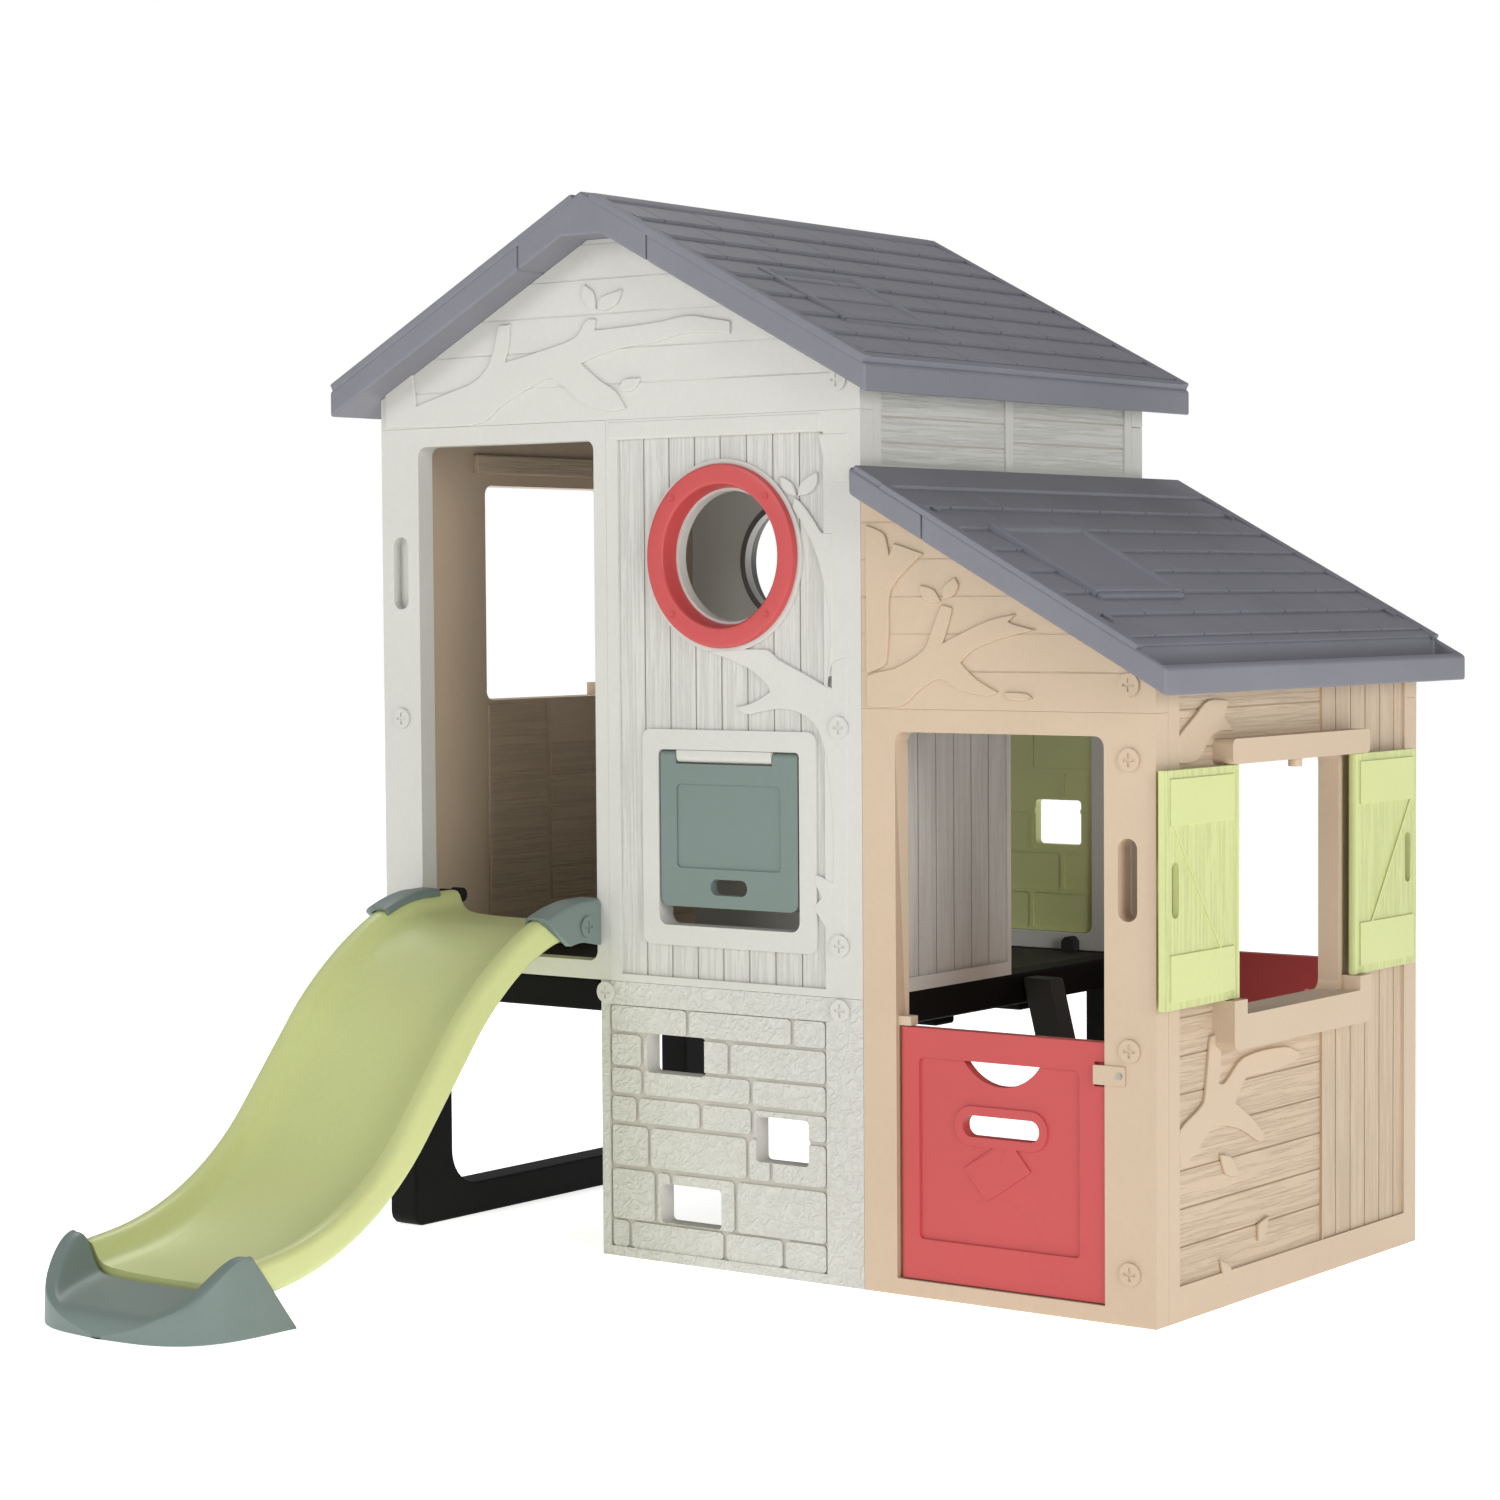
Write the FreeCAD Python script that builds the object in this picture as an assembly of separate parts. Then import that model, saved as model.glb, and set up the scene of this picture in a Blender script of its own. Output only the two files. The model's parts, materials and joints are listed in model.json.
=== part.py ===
import FreeCAD, Part
import math
import os

# A child's plastic playhouse: a raised tower with a slide, and a ground-level
# extension under a lean-to roof.  Millimetres, +Z up.
# House axes: X runs right along the front, Y runs back from the front wall, Z runs up
# from the ground.  X = 0 is the line where the tower meets the extension.
# Every solid is shifted at the end so that the origin is under the middle of the object.

# ---------------------------------------------------------------- driving sizes: the house
TOWER_WIDTH = 1100.0
EXT_WIDTH = 575.0
DEPTH = 950.0
PLATFORM_HEIGHT = 500.0
TOWER_WALL_HEIGHT = 1010.0
EXT_WALL_HEIGHT = 1000.0
WALL = 40.0
FIT = 0.3                      # gap between two pieces that are assembled face to face

# ---------------------------------------------------------------- driving sizes: roofs
ROOF_OVERHANG = 75.0           # past the front and the rear walls
EAVE_OVERHANG = 62.0           # past the side walls
ROOF_SLOPE = 28.0              # degrees
ROOF_DEPTH = 48.0              # measured upright
ROOF_RISE = 56.0               # underside of the roof above the wall's top, at the wall's outer face
RIDGE_HALF_WIDTH = 147.0
RIDGE_STEP = 6.0               # how far the ridge piece stands above the roof panels
RIDGE_BLOCK = 24.0             # extra depth of the ridge piece under its apex
LEAN_SLOPE = 28.6
LEAN_DEPTH = 46.0
LEAN_RISE = 63.0               # underside of the lean-to roof above the extension's wall height
LEAN_START = 26.0              # top edge of the lean-to roof, from the tower
LEAN_STRIP = 146.0             # width of the smooth top piece, measured level
FLASHING_DEPTH = 60.0
GUTTER_WIDTH = 48.0
GUTTER_DEPTH = 16.0
GUTTER_INSET = 12.0

# ---------------------------------------------------------------- driving sizes: base
LEG_DEPTH = 65.0
LEG_WIDTH = 110.0
LEG_BAR = 64.0
LEG_CORNER = 70.0
BEAM_HEIGHT = 57.0
BEAM_WIDTH = 50.0
DECK_THICKNESS = 30.0
JOIST_WIDTH = 60.0
JOIST_HEIGHT = 50.0
STONE_WIDTH = 577.0
STONE_STRIP = 42.0
STONE_PILASTER = 78.0
STONE_GAP = 8.0
STONE_RELIEF = 6.0
STONE_BORDER = 18.0

# ---------------------------------------------------------------- driving sizes: wall panels
PANEL_SPLIT = 556.0            # from the tower's right edge to the line between the two front panels
FIELD_RELIEF = 5.0
GROOVE_WIDTH = 3.0
GROOVE_DEPTH = 2.0
BOARD_PITCH = 57.0
PLANK_PITCH = 63.0
HEADER_PITCH = 45.0            # planks between the two roofs
DOOR_LEFT_POST = 92.0
DOOR_RIGHT_POST = 29.0
DOOR_SILL = 34.0
DOOR_HEIGHT = 941.0
CORNER_RADIUS = 18.0
WINDOW_FROM_RIGHT = 295.0
WINDOW_UP = 763.0              # centre of the round window above the platform
WINDOW_HOLE = 128.0
RING_OUTER = 162.0
RING_INNER = 115.0
RING_PROUD = 13.0
RING_CLIP = 4.0
HATCH_RIGHT = 133.0
HATCH_WIDTH = 309.0
HATCH_SILL = 108.0
HATCH_HEIGHT = 313.0
HATCH_FRAME = 36.0
HATCH_TOP_CORNER = 8.0
PANEL_LEFT_BORDER = 26.0
PANEL_FOOT_BORDER = 14.0
PANEL_STRIP = 36.0             # smooth strip above the boards

# ---------------------------------------------------------------- driving sizes: hatch flap
FLAP_THICKNESS = 20.0
FLAP_GAP_LEFT = 4.0
FLAP_GAP_BOTTOM = 34.0
FLAP_SETBACK = 1.0
HINGE_BAR_LEFT = 40.0           # from each side of the hatch opening to the bar
HINGE_BAR_RIGHT = 60.0
HINGE_BAR_RADIUS = 11.0
HINGE_PIN = 4.0
HINGE_PIN_REACH = 14.0
HINGE_DROP = 12.0
FLAP_GRIP_WIDTH = 80.0
FLAP_GRIP_HEIGHT = 28.0
FLAP_GRIP_UP = 23.0
PIN_CLEARANCE = 0.05           # radial, in every hinge
SWING_GAP = 1.5                # between a swinging piece and what it passes

# ---------------------------------------------------------------- driving sizes: slide
SLIDE_SIDE_GAP = 6.5            # chute to doorway post, each side
SLIDE_RIM = 38.0
SLIDE_CHANNEL = 44.0
SLIDE_FLOOR = 17.0
SLIDE_TOP = 100.0              # rim above the platform
SLIDE_LEAD = 50.0
SLIDE_STEEP = 50.0             # degrees
SLIDE_END_SLOPE = 7.0
SLIDE_TOP_RADIUS = 420.0
SLIDE_END_HEIGHT = 125.0
SLIDE_FOOT_RADIUS = 500.0
FOOT_LENGTH = 264.0
FOOT_LAP = 48.0
FOOT_TIP_HEIGHT = 46.0
FOOT_CORNER = 90.0
FOOT_FLOOR = 16.0
BRACKET_LENGTH = 150.0
BRACKET_HEIGHT = 78.0
BRACKET_THICKNESS = 16.0

# ---------------------------------------------------------------- driving sizes: extension
EXT_LEFT_POST = 68.0
EXT_DOOR_WIDTH = 410.0
EXT_DOOR_SILL = 28.0
EXT_DOOR_HEAD = 39.0
GRIP_WIDTH = 36.0
GRIP_HEIGHT = 135.0
GRIP_UP = 661.0
SIDE_WINDOW_FROM_FRONT = 250.0
SIDE_WINDOW_WIDTH = 390.0
SIDE_WINDOW_SILL = 493.0
SIDE_WINDOW_HEIGHT = 417.0
SILL_THICKNESS = 58.0
SILL_PROUD = 37.0
HEAD_THICKNESS = 42.0
HEAD_PROUD = 34.0
LEDGE_SPREAD = 55.0            # sill and head past each side of the window
LEDGE_STANDOFF = 25.0          # the sill's upturned ends
LEDGE_END = 44.0               # width of each upturned end
CASING = 12.0                  # smooth band round the window
CORNER_PILASTER = 36.0
PLANK_SPAN = 538.0             # from the inner front corner to the line between planks and boards
WALL_FOOT_BAND = 58.0
WALL_HEAD_BAND = 24.0

# ---------------------------------------------------------------- driving sizes: half-door
HALF_DOOR_TOP = 460.0
HALF_DOOR_THICKNESS = 24.0
HALF_DOOR_SETBACK = 5.0
DOOR_GAP = 2.0
DOOR_PIN = 5.0
DOOR_PIN_LENGTH = 13.0
LUG_THICKNESS = 16.0
LUG_REACH = 26.0
NOTCH_WIDTH = 20.0
NOTCH_HEIGHT = 40.0
NOTCH_UP = 388.0
NOTCH_DEPTH = 9.0
ARC_WIDTH = 150.0
ARC_DROP = 40.0
ARC_UP = 410.0
SLOT_WIDTH = 150.0
SLOT_HEIGHT = 36.0
SLOT_UP = 301.0
SLOT_RIM = 16.0
PLAY_PANEL_TOP = 515.0
PLAY_PANEL_THICKNESS = 22.0
TREFOIL_HOLE = 6.0
TREFOIL_SPREAD = 13.0

# ---------------------------------------------------------------- driving sizes: shutters
SHUTTER_WIDTH = 247.0
SHUTTER_THICKNESS = 16.0
SHUTTER_OFF_WALL = 10.0
SHUTTER_PIN = 5.0
SHUTTER_PIN_INSET = 21.0       # pins from the window's edge
SHUTTER_PIN_LENGTH = 12.0
SHUTTER_GRIP_WIDTH = 22.0
SHUTTER_GRIP_HEIGHT = 90.0
SHUTTER_GRIP_INSET = 22.0
BATTEN_HEIGHT = 76.0
BATTEN_MARGIN = 14.0
BRACE_WIDTH = 6.0
BRACE_RELIEF = 3.0

# ---------------------------------------------------------------- driving sizes: other pieces
BARRIER_TOP = 505.0            # above the platform
BARRIER_THICKNESS = 24.0
BARRIER_HOLE_WIDTH = 103.0
BARRIER_HOLE_HEIGHT = 87.0
BARRIER_HOLE_LEFT = 290.0
BARRIER_HOLE_UP = 204.0
RAIL_WIDTH = 45.0
RAIL_DEPTH = 62.0
RAIL_LEAN = 14.0
RAIL_TOP_DROP = 8.0
RAIL_INSET = 34.0
TREAD_COUNT = 2
TREAD_DEPTH = 96.0
TREAD_THICKNESS = 26.0
SCREW_RADIUS = 19.0
SCREW_HEAD = 4.0
SCREW_SLOT = 5.0
SCREW_SLOT_LENGTH = 22.0
SCREW_SLOT_DEPTH = 2.0
SMALL_SCREW = 5.0
CLIP_RADIUS = 14.0
CLIP_LENGTH = 22.0
KNOB_RADIUS = 12.0
KNOB_LENGTH = 14.0

# ---------------------------------------------------------------- worked-out places
LEFT = -TOWER_WIDTH
RIGHT = EXT_WIDTH
MIDDLE = LEFT / 2
SPLIT = -PANEL_SPLIT
DOOR_WIDTH = SPLIT - DOOR_RIGHT_POST - LEFT - DOOR_LEFT_POST
SLIDE_WIDTH = DOOR_WIDTH - 2 * SLIDE_SIDE_GAP
DECK_TOP = PLATFORM_HEIGHT
WALL_TOP = PLATFORM_HEIGHT + TOWER_WALL_HEIGHT
PANEL_FOOT = DECK_TOP + FIT
ROOF_TAN = math.tan(math.radians(ROOF_SLOPE))
LEAN_TAN = math.tan(math.radians(LEAN_SLOPE))
ROOF_FRONT = -ROOF_OVERHANG
ROOF_REAR = DEPTH + ROOF_OVERHANG
EAVE_LEFT = LEFT - EAVE_OVERHANG
EAVE_RIGHT = EAVE_OVERHANG
LEAN_EAVE = RIGHT + EAVE_OVERHANG + FIT
SLIDE_CENTRE = LEFT + DOOR_LEFT_POST + DOOR_WIDTH / 2
SLIDE_RIM_Z = DECK_TOP + SLIDE_TOP
WINDOW_Z = PANEL_FOOT + WINDOW_UP
HINGE_BAR_Z = PANEL_FOOT + HATCH_SILL + HATCH_HEIGHT - HINGE_DROP
HINGE_BAR_Y = FLAP_SETBACK + FLAP_THICKNESS / 2
DOOR_PIN_X = EXT_LEFT_POST + DOOR_GAP + HALF_DOOR_THICKNESS / 2
DOOR_PIN_Y = HALF_DOOR_SETBACK + HALF_DOOR_THICKNESS / 2
SHUTTER_X = RIGHT + SHUTTER_OFF_WALL + SHUTTER_THICKNESS / 2
SHUTTER_FOOT = SIDE_WINDOW_SILL + LEDGE_STANDOFF + SWING_GAP
SHUTTER_HEAD = SIDE_WINDOW_SILL + SIDE_WINDOW_HEIGHT - SWING_GAP


def roof_under(x):
    """Height of the tower roof's underside at x."""
    rise = (TOWER_WIDTH / 2 - abs(x - MIDDLE)) * ROOF_TAN
    return WALL_TOP + ROOF_RISE + rise


def lean_under(x):
    """Height of the lean-to roof's underside at x."""
    return EXT_WALL_HEIGHT + LEAN_RISE + (RIGHT - x) * LEAN_TAN


# ---------------------------------------------------------------- the slide's side curve
def slide_points(offset):
    """Key points of the slide's side curve, offset square to it (down is positive)."""
    steep = math.radians(SLIDE_STEEP)
    ending = math.radians(SLIDE_END_SLOPE)
    drop_in_bends = (SLIDE_TOP_RADIUS * (1 - math.cos(steep))
                     + SLIDE_FOOT_RADIUS * (math.cos(ending) - math.cos(steep)))
    straight = (SLIDE_RIM_Z - SLIDE_END_HEIGHT - drop_in_bends) / math.sin(steep)
    top_centre = (-SLIDE_LEAD, SLIDE_RIM_Z - SLIDE_TOP_RADIUS)
    radius = SLIDE_TOP_RADIUS - offset

    def on_top(angle):
        return (top_centre[0] - radius * math.sin(angle), top_centre[1] + radius * math.cos(angle))

    bend_end = (top_centre[0] - SLIDE_TOP_RADIUS * math.sin(steep) - straight * math.cos(steep),
                top_centre[1] + SLIDE_TOP_RADIUS * math.cos(steep) - straight * math.sin(steep))
    low_centre = (bend_end[0] - SLIDE_FOOT_RADIUS * math.sin(steep),
                  bend_end[1] + SLIDE_FOOT_RADIUS * math.cos(steep))
    low = SLIDE_FOOT_RADIUS + offset

    def on_low(angle):
        return (low_centre[0] + low * math.sin(angle), low_centre[1] - low * math.cos(angle))

    return {"start": on_top(0.0), "top_mid": on_top(steep / 2), "top_end": on_top(steep),
            "low_start": on_low(steep), "low_mid": on_low((steep + ending) / 2), "low_end": on_low(ending)}


CHUTE_END = slide_points(0.0)["low_end"]
FOOT_TIP = CHUTE_END[0] + FOOT_LAP - FOOT_LENGTH
SHIFT = FreeCAD.Vector(-(EAVE_LEFT + LEAN_EAVE) / 2, -(FOOT_TIP + ROOF_REAR) / 2, 0)


# ---------------------------------------------------------------- small helpers
def vector(x, y, z):
    return FreeCAD.Vector(x, y, z)


def spot(plane, a, b, c):
    """A point from its two places in a plane and its place across it."""
    if plane == "xz":
        return vector(a, c, b)
    if plane == "yz":
        return vector(c, a, b)
    return vector(a, b, c)


def block(x0, y0, z0, x1, y1, z1):
    return Part.makeBox(x1 - x0, y1 - y0, z1 - z0, vector(x0, y0, z0))


def outline(plane, corners, c0, c1):
    """A flat polygon drawn in a plane and pulled from c0 to c1 across it."""
    points = [spot(plane, a, b, c0) for a, b in corners]
    wire = Part.makePolygon(points + points[:1])
    return Part.Face(wire).extrude(spot(plane, 0, 0, c1 - c0))


def plate(plane, a0, b0, a1, b1, c0, c1, radius=0.0):
    """A rectangle with rounded corners, drawn in a plane and pulled across it."""
    if radius == 0:
        return outline(plane, [(a0, b0), (a1, b0), (a1, b1), (a0, b1)], c0, c1)
    bow = radius * (1 - math.sqrt(0.5))
    ring = [((a0 + radius, b0), (a1 - radius, b0), (a1 - bow, b0 + bow), (a1, b0 + radius)),
            ((a1, b0 + radius), (a1, b1 - radius), (a1 - bow, b1 - bow), (a1 - radius, b1)),
            ((a1 - radius, b1), (a0 + radius, b1), (a0 + bow, b1 - bow), (a0, b1 - radius)),
            ((a0, b1 - radius), (a0, b0 + radius), (a0 + bow, b0 + bow), (a0 + radius, b0))]
    edges = []
    for start, stop, middle, end in ring:
        if math.dist(start, stop) > 1e-6:
            edges.append(Part.makeLine(spot(plane, *start, c0), spot(plane, *stop, c0)))
        arc = Part.Arc(spot(plane, *stop, c0), spot(plane, *middle, c0), spot(plane, *end, c0))
        edges.append(arc.toShape())
    return Part.Face(Part.Wire(edges)).extrude(spot(plane, 0, 0, c1 - c0))


def arched(plane, a0, b0, a1, b1, c0, c1, low_radius, high_radius):
    """Like plate, with one radius for the two lower corners and another for the upper two."""
    middle = (b0 + b1) / 2
    lower = plate(plane, a0, b0, a1, b1, c0, c1, low_radius)
    upper = plate(plane, a0, b0, a1, b1, c0, c1, high_radius)
    rim = max(abs(b1 - b0), abs(a1 - a0))
    half_low = plate(plane, a0 - 1, b0 - 1, a1 + 1, middle, c0 - 1, c1 + 1)
    half_high = plate(plane, a0 - 1, middle, a1 + 1, b0 + rim + 1, c0 - 1, c1 + 1)
    return lower.common(half_low).fuse(upper.common(half_high)).removeSplitter()


def rod(plane, a, b, c0, c1, radius):
    """A round bar that runs across a plane from c0 to c1."""
    return Part.makeCylinder(radius, abs(c1 - c0), spot(plane, a, b, min(c0, c1)), spot(plane, 0, 0, 1))


def grooves(plane, a0, b0, a1, b1, face, inward, pitch, upright):
    """Thin cuts that part a field into boards, upright or level."""
    cuts = []
    low, high = (a0, a1) if upright else (b0, b1)
    count = int((high - low) / pitch)
    for step in range(1, count + 1):
        at = low + step * pitch - GROOVE_WIDTH / 2
        if at + GROOVE_WIDTH > high:
            continue
        if upright:
            cuts.append(plate(plane, at, b0, at + GROOVE_WIDTH, b1, face, face + inward))
        else:
            cuts.append(plate(plane, a0, at, a1, at + GROOVE_WIDTH, face, face + inward))
    return cuts


def boards(solid, plane, a0, b0, a1, b1, face, side, pitch, upright=True):
    """Sink a field of boards into a face; side is +1 or -1, the way the face looks."""
    sink = -side * FIELD_RELIEF
    cuts = [plate(plane, a0, b0, a1, b1, face, face + sink)]
    cuts += grooves(plane, a0, b0, a1, b1, face, sink - side * GROOVE_DEPTH, pitch, upright)
    return solid.cut(cuts)


def turned_to_rear(shape, middle_x):
    """The same moulding fitted on the rear wall: turned half a turn about the house's middle."""
    copy = shape.copy()
    copy.rotate(vector(middle_x, DEPTH / 2, 0), vector(0, 0, 1), 180)
    return copy


def cap_screw(plane, a, b, face, side):
    """A big plastic screw cap with a crossed slot."""
    head = rod(plane, a, b, face + side * FIT, face + side * (FIT + SCREW_HEAD), SCREW_RADIUS)
    top = face + side * (FIT + SCREW_HEAD)
    half = SCREW_SLOT_LENGTH / 2
    thin = SCREW_SLOT / 2
    deep = top - side * SCREW_SLOT_DEPTH
    cross = [plate(plane, a - half, b - thin, a + half, b + thin, deep, top),
             plate(plane, a - thin, b - half, a + thin, b + half, deep, top)]
    return head.cut(cross)


# ---------------------------------------------------------------- base and platform
def left_leg_frame():
    top = DECK_TOP - BEAM_HEIGHT - FIT
    body = plate("yz", 0, 0, DEPTH, top, LEFT, LEFT + LEG_DEPTH)
    gap = plate("yz", LEG_WIDTH, LEG_BAR, DEPTH - LEG_WIDTH, top + LEG_CORNER,
                LEFT, LEFT + LEG_DEPTH, LEG_CORNER)
    return body.cut(gap)


def right_rear_post():
    top = DECK_TOP - BEAM_HEIGHT - FIT
    return plate("xy", -LEG_DEPTH, DEPTH - LEG_WIDTH, -FIT, DEPTH, 0, top, 8)


def beams():
    low = DECK_TOP - BEAM_HEIGHT
    back = DEPTH - BEAM_WIDTH
    return {"front_beam": block(LEFT, 0, low, -FIT, BEAM_WIDTH, DECK_TOP).cut(
                block(-STONE_WIDTH - FIT, 0, low, 0, WALL + FIT, DECK_TOP)),
            "rear_beam": block(LEFT, back, low, -FIT, DEPTH, DECK_TOP),
            "left_beam": block(LEFT, BEAM_WIDTH + FIT, low, LEFT + BEAM_WIDTH, back - FIT, DECK_TOP),
            "right_beam": block(-BEAM_WIDTH, BEAM_WIDTH + FIT, low, -FIT, back - FIT, DECK_TOP)}


def deck():
    low = DECK_TOP - DECK_THICKNESS
    x0 = LEFT + BEAM_WIDTH + FIT
    x1 = -BEAM_WIDTH - FIT
    y0 = BEAM_WIDTH + FIT
    y1 = DEPTH - BEAM_WIDTH - FIT
    nodes = {"deck_left": block(x0, y0, low, MIDDLE - FIT / 2, y1, DECK_TOP),
             "deck_right": block(MIDDLE + FIT / 2, y0, low, x1, y1, DECK_TOP)}
    for name, share in (("joist_front", 1 / 3), ("joist_rear", 2 / 3)):
        middle = y0 + (y1 - y0) * share
        nodes[name] = block(x0, middle - JOIST_WIDTH / 2, low - FIT - JOIST_HEIGHT,
                            x1, middle + JOIST_WIDTH / 2, low - FIT)
    return nodes


# Stone courses of the base panel: each row is (bottom, top, joints measured from its left edge)
STONE_ROWS = ((18, 66, (0, 42, 250, 376, 468)), (70, 160, (0, 100, 134, 274, 468)),
              (168, 240, (0, 86, 300, 350, 468)), (248, 292, (0, 60, 200, 310, 468)),
              (300, 344, (0, 72, 308, 468)), (350, 406, (0, 72, 186, 262, 468)),
              (412, 458, (0, 172, 396, 468)))
# Look-through gaps in the same units: (left, right, bottom, top)
STONE_HOLES = ((82, 208, 341, 411), (318, 429, 201, 282), (111, 243, 71, 142))
STONE_SPAN = 468.0              # the rows' own width and height, stretched to the panel's field
STONE_RISE = 458.0


def stone_panel():
    left = -STONE_WIDTH
    top = DECK_TOP - FIT
    solid = block(left, 0, 0, -FIT, WALL, top)
    field_right = -STONE_PILASTER
    field_left = left + STONE_BORDER
    field_top = top - STONE_STRIP
    solid = solid.cut(block(field_left, 0, STONE_BORDER, field_right, STONE_RELIEF, field_top))
    along = (field_right - field_left) / STONE_SPAN
    up = (field_top - STONE_GAP / 4) / STONE_RISE
    stones = []
    for low, high, joints in STONE_ROWS:
        for start, stop in zip(joints, joints[1:]):
            stones.append(plate("xz", field_left + start * along + STONE_GAP / 2, low * up,
                                field_left + stop * along - STONE_GAP / 2, high * up,
                                STONE_GAP / 4, STONE_RELIEF + 1, STONE_GAP))
    solid = solid.fuse(stones)
    holes = [plate("xz", field_left + a * along, c * up, field_left + b * along, d * up,
                   -1, WALL + 1, STONE_GAP) for a, b, c, d in STONE_HOLES]
    return solid.cut(holes)


# ---------------------------------------------------------------- tower walls
def door_panel():
    """The half of the wall with the slide doorway."""
    right = SPLIT - FIT
    solid = block(LEFT, 0, PANEL_FOOT, right, WALL, WALL_TOP - FIT)
    low = DECK_TOP + DOOR_SILL
    x0 = LEFT + DOOR_LEFT_POST
    solid = solid.cut(plate("xz", x0, low, x0 + DOOR_WIDTH, low + DOOR_HEIGHT, -1, WALL + 1, CORNER_RADIUS))
    grip_x = x0 - DOOR_LEFT_POST / 2
    middle = low + DOOR_HEIGHT * 0.75
    half = GRIP_WIDTH / 2
    pocket = plate("xz", grip_x - half, middle - GRIP_HEIGHT / 2, grip_x + half, middle + GRIP_HEIGHT / 2,
                   -1, WALL / 2, half - 1)
    return solid.cut(pocket)


def hatch_edges():
    """Left, right, bottom and top of the hatch opening."""
    low = PANEL_FOOT + HATCH_SILL
    return (-HATCH_RIGHT - HATCH_WIDTH, -HATCH_RIGHT, low, low + HATCH_HEIGHT)


def window_panel(with_hatch):
    """The half of the wall with the round window, its boards and the framed hatch."""
    top = WALL_TOP - FIT
    solid = block(SPLIT, 0, PANEL_FOOT, -FIT, WALL, top)
    border = HATCH_FRAME
    solid = boards(solid, "xz", SPLIT + PANEL_LEFT_BORDER, PANEL_FOOT + PANEL_FOOT_BORDER, -STONE_PILASTER,
                   top - PANEL_STRIP, 0, -1, BOARD_PITCH)
    left, right, low, high = hatch_edges()
    frame = plate("xz", left - border, low - border, right + border, high + border,
                  0, FIELD_RELIEF + GROOVE_DEPTH, CORNER_RADIUS)
    pad = rod("xz", -WINDOW_FROM_RIGHT, WINDOW_Z, 0, FIELD_RELIEF + GROOVE_DEPTH, RING_OUTER + 8)
    solid = solid.fuse([frame, pad])
    solid = solid.cut(rod("xz", -WINDOW_FROM_RIGHT, WINDOW_Z, -1, WALL + 1, WINDOW_HOLE))
    depth = WALL + 1 if with_hatch else FIELD_RELIEF
    return solid.cut(arched("xz", left, low, right, high, -1, depth, CORNER_RADIUS, HATCH_TOP_CORNER))


def window_ring():
    """Flange on the wall's face and a sleeve through it."""
    flange = rod("xz", -WINDOW_FROM_RIGHT, WINDOW_Z, -RING_PROUD, -FIT, RING_OUTER)
    sleeve = rod("xz", -WINDOW_FROM_RIGHT, WINDOW_Z, -RING_PROUD, WALL + RING_CLIP, WINDOW_HOLE - FIT)
    bore = rod("xz", -WINDOW_FROM_RIGHT, WINDOW_Z, -RING_PROUD - 1, WALL + RING_CLIP + 1, RING_INNER)
    return flange.fuse(sleeve).cut(bore)


def gable():
    """The triangle over the front wall, planked, up to the roof's underside."""
    gap = FIT / math.cos(math.radians(ROOF_SLOPE))
    block_half = RIDGE_BLOCK / ROOF_TAN
    peak_cut = roof_under(MIDDLE) - RIDGE_BLOCK - gap
    corners = [(LEFT, WALL_TOP), (-FIT, WALL_TOP), (-FIT, roof_under(-FIT) - gap),
               (MIDDLE + block_half, peak_cut), (MIDDLE - block_half, peak_cut),
               (LEFT, roof_under(LEFT) - gap)]
    solid = outline("xz", corners, 0, WALL)
    rows = int((peak_cut - WALL_TOP) / PLANK_PITCH)
    cuts = []
    for row in range(1, rows + 1):
        z = WALL_TOP + row * PLANK_PITCH
        cuts.append(block(LEFT, 0, z, 0, GROOVE_DEPTH, z + GROOVE_WIDTH))
    return solid.cut(cuts)


def side_wall(low, high):
    """A window wall: an upright slab whose outer face looks along +X, its inner face at x = 0."""
    y0 = WALL + FIT
    y1 = DEPTH - WALL - FIT
    solid = block(0, y0, low, WALL, y1, high)
    sill = low + SIDE_WINDOW_SILL
    w0 = SIDE_WINDOW_FROM_FRONT
    w1 = w0 + SIDE_WINDOW_WIDTH
    head = sill + SIDE_WINDOW_HEIGHT
    seam = y0 + PLANK_SPAN
    foot = low + WALL_FOOT_BAND
    solid = boards(solid, "yz", y0 + CORNER_PILASTER, foot, seam, high - WALL_HEAD_BAND,
                   WALL, 1, PLANK_PITCH, upright=False)
    solid = boards(solid, "yz", seam + GROOVE_WIDTH, foot, y1 - CORNER_PILASTER / 4, high - WALL_HEAD_BAND,
                   WALL, 1, BOARD_PITCH)
    casing = plate("yz", w0 - CASING, sill - CASING, w1 + CASING, head + CASING, WALL / 2, WALL, CORNER_RADIUS)
    ledge = plate("yz", w0 - LEDGE_SPREAD, sill - SILL_THICKNESS, w1 + LEDGE_SPREAD, sill,
                  WALL / 2, WALL + SILL_PROUD, SILL_THICKNESS / 4)
    hood = plate("yz", w0 - LEDGE_SPREAD, head, w1 + LEDGE_SPREAD, head + HEAD_THICKNESS,
                 WALL / 2, WALL + HEAD_PROUD, HEAD_THICKNESS / 4)
    ends = [block(WALL / 2, y, sill - SILL_THICKNESS / 2, WALL + SILL_PROUD, y + LEDGE_END, sill + LEDGE_STANDOFF)
            for y in (w0 - LEDGE_SPREAD, w1 + LEDGE_SPREAD - LEDGE_END)]
    solid = solid.fuse([casing, ledge, hood] + ends)
    return solid.cut(plate("yz", w0, sill, w1, head, -1, WALL + 1, CORNER_RADIUS))


def left_wall():
    high = roof_under(LEFT) - FIT
    solid = side_wall(PANEL_FOOT, high)
    # The same moulding, mirrored so that its outer face looks along -X; its ledges stay short
    solid = solid.mirror(vector(0, 0, 0), vector(1, 0, 0))
    solid.translate(vector(LEFT + WALL, 0, 0))
    return solid


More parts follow.
